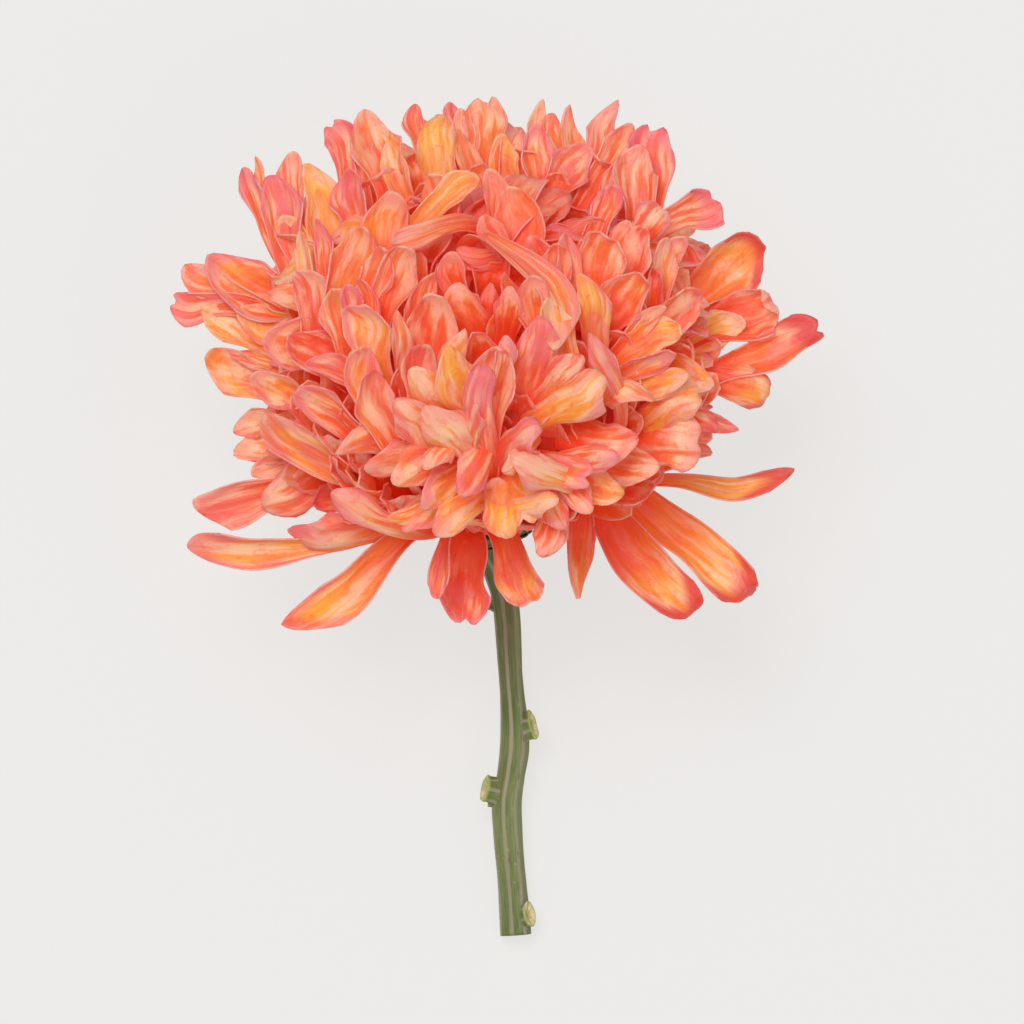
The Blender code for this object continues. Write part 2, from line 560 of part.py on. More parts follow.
def add_object(name, mesh, collection):
    made = bpy.data.objects.new(name, mesh)
    collection.objects.link(made)
    return made


def add_material(body, name, colour, roughness):
    finish = bpy.data.materials.new(name)
    finish.use_nodes = True
    shader = finish.node_tree.nodes["Principled BSDF"]
    shader.inputs["Base Color"].default_value = (*colour, 1.0)
    shader.inputs["Roughness"].default_value = roughness
    shader.inputs["Metallic"].default_value = 0.0
    body.data.materials.clear()
    body.data.materials.append(finish)


def new_collection(name):
    made = bpy.data.collections.new(name)
    bpy.context.scene.collection.children.link(made)
    return made


def fuse(body, pieces):
    """Joins a collection's solids to the body in one Boolean union, then removes them."""
    union = body.modifiers.new("union", "BOOLEAN")
    union.operation = "UNION"
    union.operand_type = "COLLECTION"
    union.collection = pieces
    union.solver = "MANIFOLD"
    bpy.context.view_layer.objects.active = body
    bpy.ops.object.modifier_apply(modifier=union.name)
    for piece in list(pieces.objects):
        bpy.data.objects.remove(piece, do_unlink=True)
    bpy.data.collections.remove(pieces)
    keep_largest_shell(body.data)


def keep_largest_shell(mesh):
    """Fills the small hollows that a union seals, and drops what it leaves loose."""
    shape = bmesh.new()
    shape.from_mesh(mesh)
    unseen = set(shape.faces)
    shells = []
    while unseen:
        shell, front = set(), [unseen.pop()]
        while front:
            face = front.pop()
            shell.add(face)
            near = {beside for edge in face.edges for beside in edge.link_faces} & unseen
            unseen -= near
            front += near
        shells.append(shell)
    largest = max(shells, key=len)
    loose = [face for shell in shells if shell is not largest for face in shell]
    bmesh.ops.delete(shape, geom=loose, context="FACES")
    shape.to_mesh(mesh)
    shape.free()


def core_mesh():
    """The heart of the bloom: the ball made smaller, flat where the involucre meets it."""
    shape = bmesh.new()
    bmesh.ops.create_uvsphere(shape, u_segments=CORE_SEGMENTS, v_segments=CORE_RINGS, radius=1.0)
    top = BALL_HEIGHT + BALL_HALF_DEPTH * CORE_SCALE
    for vertex in shape.verts:
        x, y, z = vertex.co
        across = math.hypot(x, y)
        height = 0.5 * (1 + z) * top
        radius = float(core_radius(np.array(height))) if across > 1e-6 else 0.0
        ray = (x * SIDE + y * FRONT) / max(across, 1e-6)
        if z > 0:
            height -= float(core_pocket(radius))
        vertex.co = Vector(lay_down(height * AXIS + radius * ray))
    return mesh_from("bloom", shape)


def build_bloom():
    bloom = add_object("bloom", core_mesh(), bpy.context.scene.collection)
    pieces = new_collection("florets")
    for floret in SEEN_FLORETS:
        rows = floret_rows(seen_spine(floret), floret.width, floret.cup, floret.tip, EYE_WAY)
        add_object("floret", blade_mesh(rows), pieces)
    for layer, (spine, width) in enumerate(hidden_spines()):
        rows = floret_rows(spine, width, HIDDEN_CUP, "round", AXIS)
        add_object("floret", blade_mesh(rest_on_floor(rows, layer)), pieces)
    fuse(bloom, pieces)
    add_material(bloom, "petal", (0.84, 0.2, 0.1), 0.5)


def ring_round(middle, way, radius, sides, rib=0.0):
    """A ring of points square to a direction, with its ribs."""
    side = unit(np.cross(way, EYE_WAY + 0.01 * SIDE))
    up = np.cross(side, way)
    ring = []
    for index in range(sides):
        turn = 2 * math.pi * index / sides
        reach = radius * (1 + rib * math.cos(0.5 * sides * turn))
        ring.append(middle + reach * (math.cos(turn) * side + math.sin(turn) * up))
    return ring


def build_stem():
    neck = [(*(height * AXIS), radius) for height, radius in NECK]
    line = np.array([*STEM_LINE, *neck])
    spine = Spine(line[:, :3])
    rings = []
    for along in np.linspace(0, spine.length, round(spine.length / STEM_STEP)):
        middle, way = spine.at(np.array(along))
        radius = float(np.interp(along, spine.marks, line[:, 3]))
        if along == spine.length:
            way = AXIS
        rings.append(lay_down(ring_round(middle, way, radius, STEM_SIDES, STEM_RIB)))
    stem = add_object("stem", skin_rings("stem", rings), bpy.context.scene.collection)
    pieces = new_collection("stalks")
    for foot, end, foot_radius, end_radius in STALKS:
        foot = np.array([*foot, line[0, 2]])
        end = np.array([*end, line[0, 2]])
        way = unit(end - foot)
        inner = ring_round(foot - way * foot_radius * 0.5, way, foot_radius, STALK_SIDES)
        middle = ring_round(0.5 * (foot + end), way, 0.4 * foot_radius + 0.6 * end_radius, STALK_SIDES)
        outer = ring_round(end, way, end_radius, STALK_SIDES)
        rings = [lay_down(ring) for ring in (inner, middle, outer)]
        add_object("stalk", skin_rings("stalk", rings), pieces)
    fuse(stem, pieces)
    add_material(stem, "stem", (0.16, 0.21, 0.06), 0.55)
    stem.data.shade_smooth()
    stem.data.set_sharp_from_angle(angle=math.radians(40))


def bract_rows(turn, foot_height, foot_radius, tip_height, tip_radius):
    """The corners of a bract pressed to the cup, with its tip free."""
    ray, side = ray_at(turn), ray_at(turn + 0.5 * math.pi)
    foot = foot_height * AXIS + foot_radius * ray
    tip = tip_height * AXIS + tip_radius * ray
    outward = unit(np.cross(tip - foot, side))
    outward *= math.copysign(1.0, outward @ ray)
    rows = []
    for share, breadth in ((0.0, 0.8), (0.6, 1.0), (1.0, 0.35)):
        middle = foot + (tip - foot) * share
        half = 0.5 * BRACT_WIDTH * breadth
        keel = outward * BRACT_KEEL * (0.6 if share == 1.0 else 1.0)
        rows.append((middle - side * half, middle + keel, middle + side * half))
    return lay_down(rows)


def build_involucre():
    rings = [
        lay_down(ring_round(height * AXIS, AXIS, radius, CUP_SIDES)) for height, radius in CUP_PROFILE
    ]
    involucre = add_object("involucre", skin_rings("involucre", rings), bpy.context.scene.collection)
    pieces = new_collection("bracts")
    for row, (count, foot_height, foot_radius, tip_height, tip_radius) in enumerate(BRACT_ROWS):
        for index in range(count):
            turn = 2 * math.pi * (index + 0.4 * row) / count
            rows = bract_rows(turn, foot_height, foot_radius, tip_height, tip_radius)
            add_object("bract", blade_mesh(rows), pieces)
    fuse(involucre, pieces)
    add_material(involucre, "bract", (0.08, 0.13, 0.04), 0.6)


def main():
    for old in list(bpy.data.objects):
        bpy.data.objects.remove(old, do_unlink=True)
    build_stem()
    build_involucre()
    build_bloom()


main()
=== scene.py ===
"""Looks of a cut chrysanthemum lying on its back, seen from above.

The flower is drawn in a facing frame, in millimetres: x to the right, y up the stem and z toward
the eye, with the origin in the middle of the receptacle. lay_down turns it onto the surface.
"""

import math
from collections import namedtuple

import bmesh
import bpy
import numpy as np
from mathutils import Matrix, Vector


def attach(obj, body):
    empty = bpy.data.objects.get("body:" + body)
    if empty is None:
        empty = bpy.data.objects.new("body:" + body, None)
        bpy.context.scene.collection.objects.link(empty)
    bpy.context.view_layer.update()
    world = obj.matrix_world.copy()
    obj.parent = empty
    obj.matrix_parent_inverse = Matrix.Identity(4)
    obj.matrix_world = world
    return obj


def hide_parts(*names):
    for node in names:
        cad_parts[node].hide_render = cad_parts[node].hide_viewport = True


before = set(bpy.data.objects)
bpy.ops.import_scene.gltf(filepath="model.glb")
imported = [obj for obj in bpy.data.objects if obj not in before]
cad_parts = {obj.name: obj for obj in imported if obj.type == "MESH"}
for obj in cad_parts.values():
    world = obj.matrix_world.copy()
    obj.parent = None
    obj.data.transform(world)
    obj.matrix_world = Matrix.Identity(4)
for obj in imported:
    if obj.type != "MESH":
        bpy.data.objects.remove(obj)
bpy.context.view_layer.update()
bpy.ops.object.select_all(action="DESELECT")

MM = 0.001
TINY = 1e-6
WELD = 1e-6
BODY = "root"

# How the flower lies: its turn from the facing frame, and the shift to the middle of its footprint
LYING_TURN = math.radians(10.5)
LYING_SHIFT = np.array([-1.0, 3.6, 30.45])
LYING_UP = np.array([0.0, math.sin(LYING_TURN), math.cos(LYING_TURN)])
MOST_SAG = 10.0

# The eye that the facing frame's x and y are read from, and the size of the view there
EYE_DISTANCE = 1500.0
EYE_AIM = np.array([4.4, -2.4])
EYE_WAY = np.array([0.0, 0.0, 1.0])
VIEW_WIDTH = 204.8
SENSOR = 36.0
CLIP_END = 20.0

# The bloom: a ball flattened along its axis, with a pocket at the crown
AXIS_TILT = math.radians(40.0)
AXIS = np.array([0.0, math.cos(AXIS_TILT), math.sin(AXIS_TILT)])
FRONT = np.array([0.0, -math.sin(AXIS_TILT), math.cos(AXIS_TILT)])
SIDE = np.array([1.0, 0.0, 0.0])
BALL_HEIGHT = 32.0
BALL_RADIUS = 52.0
BALL_HALF_DEPTH = 45.0
BALL_CENTRE = BALL_HEIGHT * AXIS
POCKET = np.array([-1.0, 47.0])
POCKET_DEPTH = 18.0
POCKET_REACH = 5.0
CORE_SCALE = 0.74
CORE_FOOT_RADIUS = 10.5
CORE_SHOULDER = 28.0
CORE_POCKET_DEPTH = 16.0
CORE_POCKET_REACH = 10.0
CORE_SIZE = (48, 24)
ROOT_SINK = 3.0
START_STEPS = 120

# Ray florets
ROOT_RADIUS = 8.0
ROOT_HEIGHT = 3.0
FORESHORTENING = 1.1
LEAST_OUTWARD = 0.3
MOST_OUTWARD = 0.9
ARCH = 9.0
BOW = 0.1
BOW_TO_EYE = 0.6
BOW_PLACE = 0.55
FACE_TO_EYE = 0.65
ROOT_WIDTH = 0.35
BASE_WIDTH = 0.66
BROADEST = 0.66
SWELL_POWER = 1.2
LONG_SHOWN = 17.0
LONG_TAPER = 0.2
THICKNESS = 0.34

# Tips: how long the rounding is for the floret's width, and how sharply and how tightly it curls
TipForm = namedtuple("TipForm", "length power notch curl radius")
TIPS = {
    "round": TipForm(0.9, 1.7, 0.04, 38, 0.6),
    "point": TipForm(1.35, 1.4, 0.0, 28, 0.7),
    "notch": TipForm(0.6, 2.2, 0.24, 25, 0.6),
    "blunt": TipForm(0.35, 3.0, 0.12, 45, 0.5),
    "hood": TipForm(0.8, 1.8, 0.03, 150, 0.27),
    "drip": TipForm(2.2, 0.8, 0.0, 15, 0.7),
}

# Where a floret's tip and base are seen, its width, how far its tip stands off the ball, how far it
# is cupped toward the eye (below 0, away from it), and its colour: coral, orange, yellow, pink, red,
# salmon, flame (orange with a red tip), ember (a darker flame) or gold. Then the form of its tip,
# its sideways bow as a share of its length, and the roll of its face in degrees. The last two are
# drawn where they are left out
Floret = namedtuple(
    "Floret", "x y base_x base_y width lift cup tint tip bend roll", defaults=("round", None, None)
)
BEND_DRAW = 0.12
ROLL_DRAW = 24.0

CREST = (
    (-48.8, 67, -45.6, 57, 5, 0, 0.4, "p"),
    (-47, 68.8, -45.6, 62, 3.4, -2, 0.2, "o", "point"),
    (-44, 65.6, -41, 53, 9, 2, 0.5, "p"),
    (-40.2, 70, -38.8, 58, 6.5, 0, 0.4, "c"),
    (-36, 68.4, -32, 48, 10, 3, 0.8, "o", "point"),
    (-28, 66.6, -27, 57, 8.5, 5, 0.6, "p"),
    (-32.6, 75.6, -29, 67, 6.5, -2, 0.3, "p", "notch"),
    (-26.6, 75.2, -26, 66, 5.5, -2, 0.3, "c"),
    (-23, 78.4, -21, 66, 11, 0, 0.5, "c"),
    (-19.4, 73.6, -18, 63, 7, 3, 0.4, "o", "point"),
    (-14.6, 79.4, -14, 72, 5, -3, 0.3, "c"),
    (-11.6, 77.4, -10, 67, 10, 4, -0.4, "y"),
    (-9, 79.4, -6.4, 71, 6.5, -4, 0.3, "p"),
    (-5.8, 78.4, -4, 70, 5, -2, 0.3, "c"),
    (-1, 81.4, -0.6, 70, 9.5, -1, 0.5, "c", "notch"),
    (-6.2, 74.8, -3, 65, 7, 3, 0.4, "c", "point"),
    (3.6, 73.4, 3.6, 64, 7, 2, 0.4, "o"),
    (10.2, 80.4, 9, 71, 5, -2, 0.3, "o", "point"),
    (10, 75.6, 11, 60, 6.5, 4, 0.5, "p"),
    (12.4, 77.6, 14, 69, 6, -2, 0.3, "c"),
    (16.6, 79, 16.6, 68, 6.5, -2, 0.4, "c", "point"),
    (25, 80.4, 21.6, 71, 6, -2, 0.4, "c", "point"),
    (21, 70.6, 13, 62, 9, 4, 0.5, "p"),
    (28.4, 75.6, 23, 67, 7, 0, 0.4, "c"),
    (33.6, 75.6, 32, 62, 10, -1, 0.5, "p", "notch"),
    (32, 70.6, 30, 59, 9, 3, 0.7, "c"),
    (26.6, 69, 24, 61, 7, 3, 0.4, "s", "point"),
    (25.4, 63.4, 22, 56, 7, 4, 0.4, "p"),
    (7, 74, 6, 66, 6, 0, 0.4, "c", "point"),
)

UPPER_RIGHT = (
    (44.4, 61.6, 38, 57, 9, 0, 0.5, "p", "blunt"),
    (35.6, 57.6, 30, 53, 8, 4, -0.6, "p", "hood"),
    (53.6, 53, 40, 41, 10.5, 2, 1, "e", "hood", 0, -10),
    (40, 52, 33, 46.6, 6, 4, 0.3, "s"),
    (30, 56.2, 27, 45, 9.5, 3, 0.4, "c", "notch"),
    (35, 53, 33, 40, 7, 1, 0.4, "c"),
    (25, 53, 21, 43, 10, 3, 0.4, "c", "blunt"),
    (56.6, 40, 43, 34, 10, 1, 0.6, "r", "hood"),
    (54.4, 43.8, 46, 39, 3.5, -1, 0.2, "o", "point"),
    (51, 37, 40, 32, 8, 3, 0.4, "o"),
    (66.6, 35.6, 46, 26, 8, 2, 1, "e", "notch", -0.05, 0),
    (56.4, 21, 42, 25, 7.5, 0, -0.6, "e", "hood", 0.05, 0),
    (50, 14, 42, 17.4, 4, -1, 0.2, "p", "point"),
    (46, 14, 38, 18, 5, 1, -0.4, "r"),
    (39, 34, 30, 31, 8, 3, 0.4, "o"),
    (42.6, 12, 26, 10, 12, 2, -0.4, "c", "blunt"),
    (61.2, 6, 38, 4, 4.6, -1, 0.7, "f", "point", -0.17, 0),
    (32, 45, 22, 34, 9, 3, 0.5, "c"),
    (42, 43, 32, 34, 10, 2, 0.5, "c"),
    (18, 46, 21.4, 32, 8, 4, -0.4, "o", "point"),
    (13.6, 53, 16, 42, 6, 2, 0.4, "c"),
    (20, 33.6, 25, 23, 5, 5, -0.5, "p", "point"),
    (35.6, 38.4, 26, 30, 5, 2, 0.4, "s", "point"),
    (37, 30, 26, 25, 6, 3, 0.4, "s"),
    (40, 25, 30, 22, 6, 2, -0.4, "o"),
    (33, 20, 22, 23, 7, 4, -0.5, "o", "point"),
    (42, 22, 30, 15, 8, 1, -0.4, "o", "blunt"),
    (22, 24.4, 11, 17.6, 8, 5, -0.5, "o", "hood"),
    (18.6, 28.6, 11, 21, 8, 3, -0.4, "r"),
    (30, 12, 14, 14, 10, 3, -0.4, "r"),
    (26, 8, 15, 8, 6, 5, -0.7, "p"),
)

LOWER_RIGHT = (
    (52.4, -20, 22, 5, 9, 0, 0.6, "f", "hood", 0.02, 0),
    (41.6, -23, 20, 0, 10, 1, 0.6, "f", "hood", -0.07, 0),
    (18.6, -22, 17.6, -1, 8, 1, 0.5, "s", "drip", 0, 0),
    (10.6, -11.6, 13, -3, 8, 2, -0.4, "r"),
    (20.6, -2.4, 16, 2, 7, 3, -0.4, "c"),
)

BOTTOM = (
    (-6.6, -25.4, -4.6, -6, 10, 2, 0.5, "p", "notch", 0, 0),
    (8, -21.6, 3, -8, 8.5, 3, 0.4, "c", "blunt", 0, 0),
    (-10.8, -20, -9, -9, 4, -2, 0.3, "p"),
    (-12, -6, -4, 0, 8, 3, -0.5, "o"),
    (2, -7.6, 2, -1, 12, 3, -0.5, "o"),
    (14, 0, 7, -1, 6, 3, -0.5, "o"),
    (-13.6, -2, -6, 5, 9, 1, -0.5, "s"),
    (-18, -5.4, -10, 2, 7, 0, -0.4, "s"),
    (8.4, -5.4, 5, 2, 9, 1, -0.5, "s", "notch"),
    (14, -6.4, 11, 1, 7, 0, -0.4, "p"),
    (21, 4.4, 13, 7, 8, 3, -0.4, "p", "notch"),
    (27, 2, 17, 4, 8, 0, -0.4, "o"),
    (34, 6.6, 22, 8, 9, 0, -0.4, "c"),
    (-25, 6.4, -16, 8, 9, 1, -0.4, "c"),
    (-31, 9.4, -20, 12, 8, 2, -0.4, "c", "point"),
)

LOWER_LEFT = (
    (-41.8, -25.8, -17, -7, 8.6, 0, 0.8, "g", "point", 0.15, -12),
    (-61, -8, -36, -9, 7, 0, 0.7, "g", "round", 0.12, 0),
    (-60, -1.6, -40, 3, 8, 1, 0.6, "r", "round", 0.06, 10),
    (-45.6, -2.4, -32, 6, 12, 2, -0.4, "r"),
    (-41, -6, -26, -7, 12, 1, -0.5, "c"),
    (-32, 1, -22, -4, 6, 3, -0.7, "p"),
    (-21, -4, -14, -2, 5, 2, -0.4, "o", "point"),
    (-19, 3, -10, 8, 9, 3, -0.4, "c"),
    (-13, 6, -8, 12, 6, 3, -0.4, "c"),
    (-7, 1.6, 0, 11, 8, 3, -0.5, "p"),
    (2.6, 5.6, 6, 9, 5, 4, -0.5, "o"),
    (4.4, 9, 14, 4.4, 7, 3, -0.4, "o"),
    (8, 14, 5, 12, 8, 4, -0.7, "p", "hood"),
)

LEFT = (
    (-51.6, 9, -38, 11, 9, 0, 0.6, "r"),
    (-51.6, 13.6, -44, 16, 6, 0, 0.4, "c"),
    (-48, 5, -40, 8, 5, 1, 0.4, "o"),
    (-45.6, 17.4, -26, 4, 8, 5, 0.3, "s"),
    (-39.6, 22, -28, 15, 8, 3, 0.5, "p"),
    (-57, 30, -42, 22, 9, 2, 0.4, "o"),
    (-48.4, 25, -38, 20, 8, 2, 0.4, "c"),
    (-45.6, 34, -30, 31, 12, 3, 0.7, "p"),
    (-42, 31, -30, 26, 10, 1, 0.5, "r"),
    (-37.4, 27.6, -26, 24, 6, 5, 0.3, "p", "point"),
    (-56.6, 40, -44, 31, 9, 0, 0.4, "o"),
    (-51, 38.4, -40, 34, 8, 2, 0.4, "o"),
    (-58, 47.6, -36, 39, 12, 2, 0.5, "p"),
    (-62, 46.4, -53, 42, 8, -2, 0.4, "c"),
    (-64.4, 39.6, -55, 39, 7, -3, 0.3, "p", "notch"),
    (-52.4, 29.6, -42, 26.4, 4, 3, 0.2, "s", "point"),
)

UPPER_LEFT = (
    (-40, 57.6, -38, 42, 9, 3, 0.4, "y"),
    (-37.4, 54, -36, 44, 5, 4, 0.3, "o"),
    (-35, 56.4, -33, 46, 4, 3, 0.3, "p", "point"),
    (-26, 55.6, -29, 44, 10, 3, 0.4, "o"),
    (-38, 47, -35, 36, 9, 3, 0.5, "r"),
    (-21, 51, -24, 42, 8, 4, 0.4, "c"),
    (-31, 43, -29, 33, 8, 3, 0.4, "c"),
    (-28, 43.6, -27, 35, 4.5, 4, 0.3, "p"),
    (-25.6, 45, -23.6, 36, 5, 3, 0.3, "c", "point"),
    (-15, 51, -21, 40, 9, 4, 0.5, "c"),
    (-19, 62.4, -21, 50, 11, 3, 0.5, "s"),
    (-26, 40, -23, 29, 9.5, 4, 0.5, "s", "blunt"),
    (-19.6, 51, -9, 55, 6, 1, -0.5, "c"),
)

CROWN = (
    (-2.4, 65.6, -10, 60, 7, 3, 0.5, "y"),
    (-11, 66, -9, 54, 10, 2, 0.5, "c"),
    (5.6, 63.6, 6, 50, 12, 2, 0.5, "o"),
    (1, 66.6, 1, 58, 6, 0, 0.4, "c"),
    (-2, 57, 2, 51, 7, -2, 0.4, "r"),
    (-7, 50, 1, 49, 5, -2, -0.4, "r"),
    (-6, 46.4, 1.6, 47.4, 4.5, -1, -0.4, "r"),
    (12.8, 29.4, 1.5, 51, 7.5, 2, 0.5, "c", "point", 0.22, 25),
    (14, 52, 12, 42, 8, 1, 0.4, "c"),
    (9, 45.4, 10, 35, 8, 3, 0.4, "c"),
    (2.4, 45.6, 8.6, 38, 3.5, 5, 0.4, "y", "point"),
    (10.4, 40.4, 14, 30, 9, 5, 0.5, "o"),
    (-9, 50, -6.4, 42, 8, 0, 0.4, "r"),
    (-12.6, 46, -15, 36, 7, 4, 0.4, "c", "point"),
    (-5.6, 44, -4, 30, 9.5, 6, -0.5, "c"),
    (0.4, 43.6, -0.4, 31, 6, 5, -0.4, "r", "point"),
    (4, 43, 3, 33, 6, 5, -0.4, "c"),
    (-10, 42, -12, 28, 12, 5, 0.5, "r"),
    (-19, 38, -18, 28, 5, 4, -0.4, "c", "point"),
    (-14, 32, -14, 22, 9, 4, 0.5, "r"),
    (-5.4, 34.4, -8, 26, 8, 3, -0.4, "c", "point"),
    (-8, 31, -3, 18, 9, 3, -0.4, "o"),
    (10, 36.6, 7, 21, 9, 4, -0.6, "p"),
    (3, 33, 2, 25, 4, 5, -0.4, "p"),
    (3, 31, 0, 13, 9, 4, 0.6, "c"),
    (0, 26, -1, 12, 5.5, 5, -0.5, "p", "hood"),
    (-17, 25.6, -5, 16, 9, 3, -0.5, "o"),
    (-19, 20, -13, 12, 9, 2, -0.4, "c"),
    (-13, 19, -5, 11, 9.5, 5, -0.6, "s"),
    (-3, 20, -4, 14, 5, 2, -0.4, "r"),
    (-25, 26, -21, 15, 9, 2, 0.5, "c"),
    (-27, 31, -24, 20, 9, 3, 0.5, "s"),
)

# A floret's colours by its tint: share of orange, of pink at tip and rims, of deep red, and of yellow
TINTS = {
    "c": (0.5, 0.45, 0.25, 0.1),
    "o": (0.85, 0.25, 0.12, 0.35),
    "y": (0.9, 0.1, 0.0, 0.95),
    "p": (0.3, 0.95, 0.15, 0.05),
    "r": (0.25, 0.35, 0.6, 0.0),
    "s": (0.6, 0.6, 0.0, 0.2),
    "f": (0.85, 0.4, 1.2, 0.5),
    "g": (0.8, 0.8, 0.3, 0.5),
    "e": (0.7, 0.6, 1.0, 0.2),
}

TINT_DRAW = 0.18

# Florets placed by rule: how much they differ, and rows on the hidden back as height along the axis,
# radius, count round the ring and width
HIDDEN_SEED = 15
TURN_DRAW = 0.4
WIDTH_DRAW = (0.8, 1.15)
REACH_DRAW = (0.94, 1.04)
HEIGHT_DRAW = 3.5
HIDDEN_CUP = 0.45
HIDDEN_TIPS = ("round", "point", "round", "notch")
BACK_ROWS = (
    (4, 54, 20, 8.5), (8, 58, 22, 8.5), (14, 60, 22, 8.5), (20, 61, 22, 9),
    (27, 60, 22, 9), (34, 59, 22, 9), (41, 56, 20, 9), (48, 53, 18, 9),
    (54, 49, 16, 8.5), (60, 44, 15, 8.5),
)
BACK_REACH = 44.0
BACK_BASE = 0.52
BACK_ARCH = 6.0
BACK_ARCH_GROWTH = 0.1
BACK_BOW = 2.5
BACK_BOW_GROWTH = 0.04
BACK_BOW_PLACE = 0.7
SAGGING_ROWS = 2
BEHIND_OUTLINE = 6.0

# Rows of short florets that close the dome behind the seen ones: the angle of their tips and of
# their bases from the crown, and how far the ball there may face the eye
DOME_ROWS = (
    (26, 40), (36, 50), (46, 60), (56, 70), (66, 80), (78, 70), (90, 78),
    (100, 88),
)
DOME_FACING = 0.12
DOME_SCALE = 0.96
DOME_BASE_SCALE = 0.68
DOME_BOW = 0.03
DOME_BOW_PLACE = 0.4
DOME_POLAR_DRAW = math.radians(4.0)
DOME_FOOT = 22.0
DOME_SPACING = 12.5
DOME_WIDTH = 9.0

# Rows of florets behind the crown that lean away from it, under the crest. They are sunk most where
# the ball faces the eye as much as BEHIND_SUNK_FACING
BEHIND_ROWS = (21, 30, 40, 50, 60, 70)
BEHIND_LEAN = math.radians(19.0)
BEHIND_SCALE = 0.87
BEHIND_SINK = 0.1
BEHIND_SUNK_FACING = 0.32
BEHIND_BASE_SCALE = 0.62
BEHIND_BOW_PLACE = 0.45
BEHIND_SIDE = 0.1
BEHIND_SPACING = 10.0

# Rows of short florets that lie on the core below the front ones
APRON_ROWS = ((5, 1.5), (11, 2), (17, 2.5), (23, 3), (29, 3.5), (35, 4.5), (41, 5.5))
APRON_TURN = math.radians(110.0)
APRON_SHOWN = 17.0
APRON_BOW = 1.0
APRON_SPACING = 11.0
APRON_WIDTH = 9.5

# Where nothing but the seen florets shows: further out than this, below this height
BARE_REACH = 34.0
BARE_HEIGHT = 8.0

# Florets deeper in, between the seen ones
INNER_COUNT = 315
INNER_SCALE = (0.76, 0.9)
INNER_LOWEST = -3.0
INNER_WIDTH = (7.0, 10.0)
INNER_LEAN = 0.28
INNER_SPREAD = 1.55
INNER_BASE_SCALE = 0.5
INNER_MIDDLE_SCALE = 0.82
INNER_BOW_PLACE = 0.6
INNER_POCKET_REACH = 6.5
INNER_POCKET_DEPTH = 12.6
GOLDEN_TURN = math.pi * (3 - math.sqrt(5))

# How uneven a floret is: its tip's lean to a side, its twist, its channels' depth, the roll and
# ripple of its rim, the waves of its edge and the crinkles of its blade
TIP_LEAN = 0.22
TWIST_DRAW = 0.5
FLUTE_DRAW = (0.05, 0.13)
RIM_ROLL = 0.12
RIM_RIPPLE = 0.2
RUFFLE = 1.2
EDGE_WAVE = 0.11
CRINKLE = 0.04
SWAY = 0.06
CUP_UNEVEN = 0.45

# How a floret is shaped: how its rows crowd to the tip, how wide a notch is and how much of the
# length a rounding may take, how far it is rolled by its cup and from its root to its tip, where its
# channels end and its rim starts, and the draws of its curl, waves and channels
ROW_CROWDING = 0.85
NOTCH_WIDTH = 0.22
MOST_ROUNDING = 0.6
CUP_LEAST = 0.3
CUP_GROWTH = 1.2
CUP_AT_ROOT = 1.3
CUP_OPENING = 0.5
CHANNELS_END = 0.85
CHANNELS_SHIFT = 0.25
RIM_START = 0.7
CRINKLES = 2.3
CRINKLE_SLANT = 2.0
CURL_DRAW = (0.7, 1.3)
WAVES_DRAW = (0.8, 2.2)
CHANNELS_DRAW = (2.4, 3.6)

# Light: a floor lit from below like a light table, the even light all round, and soft lamps as
# place, size and power
FLOOR_SIZE = 8.0
FLOOR_SHADER = {
    "Base Color": (0.13, 0.13, 0.13), "Roughness": 0.9, "Emission Color": (1.0, 0.99, 0.965),
    "Emission Strength": 0.7,
}
WORLD_LIGHT = 0.36
LAMPS = (("key", (-0.35, 0.3, 2.1), 0.9, 25.5), ("fill", (0.7, -0.9, 1.7), 1.4, 6.0))
LIT_POINT = (0.0, 0.02, 0.05)

# Mesh of a floret: columns across it, rows along it
FINE = (17, 26)
COARSE = (11, 15)

# Stem: middle line and radius, then the neck's radii at heights along the bloom's axis
STEM_LINE = (
    (5.1, -87.6, -11.5, 3.1), (4.5, -79, -11.5, 2.9), (3.5, -67, -11.5, 2.9), (3.3, -61, -11.5, 3),
    (4.1, -55.5, -11.5, 2.85), (4.8, -50.5, -11.5, 2.95), (4.8, -45, -11.5, 2.75), (4.4, -39.5, -11.5, 2.5),
    (4, -34.5, -11.5, 2.4), (3.7, -29, -11.5, 2.5), (3.4, -24, -11.6, 2.65), (2.8, -19, -11.7, 2.75),
    (1.6, -14.6, -11, 2.9),
)
NECK = ((-13.6, 3.1), (-10.3, 3.3))
STEM_WAY = np.array([0.0, 1.0, 0.0])
STEM_SIDES = 57
STEM_ROWS = 110
STEM_RIBS = 7
STEM_RIB = 0.035
SEAM_NUDGE = 0.01
STEM_WAVE = 0.35
STEM_UNEVEN = 0.02
# Rings of its cut end: their share of the radius, and how cut they are
STEM_END = ((0.0, 1.0), (0.35, 0.95), (0.7, 0.75), (0.93, 0.3))

# Stubs of cut leaf stalks: foot and end of the neck, the cut face's width and height, how torn it is
SCARS = (
    ((6.2, -46, -11), (8.8, -45.2, -9.6), 3, 5.4, 0.16),
    ((2, -58.9, -11), (-1.2, -58, -9.6), 3, 5.6, 0.14),
    ((6.4, -83.8, -10.6), (8, -83.2, -8.6), 3, 5, 0.07),
    ((2, -61.4, -11.2), (-0.4, -61, -11), 0.9, 1.3, 0.2),
    ((2.4, -21.4, -11.4), (-0.2, -20.4, -11.2), 1.2, 3.4, 0.12),
)
SCAR_SIDES = 33
SCAR_LENGTH = 2.0
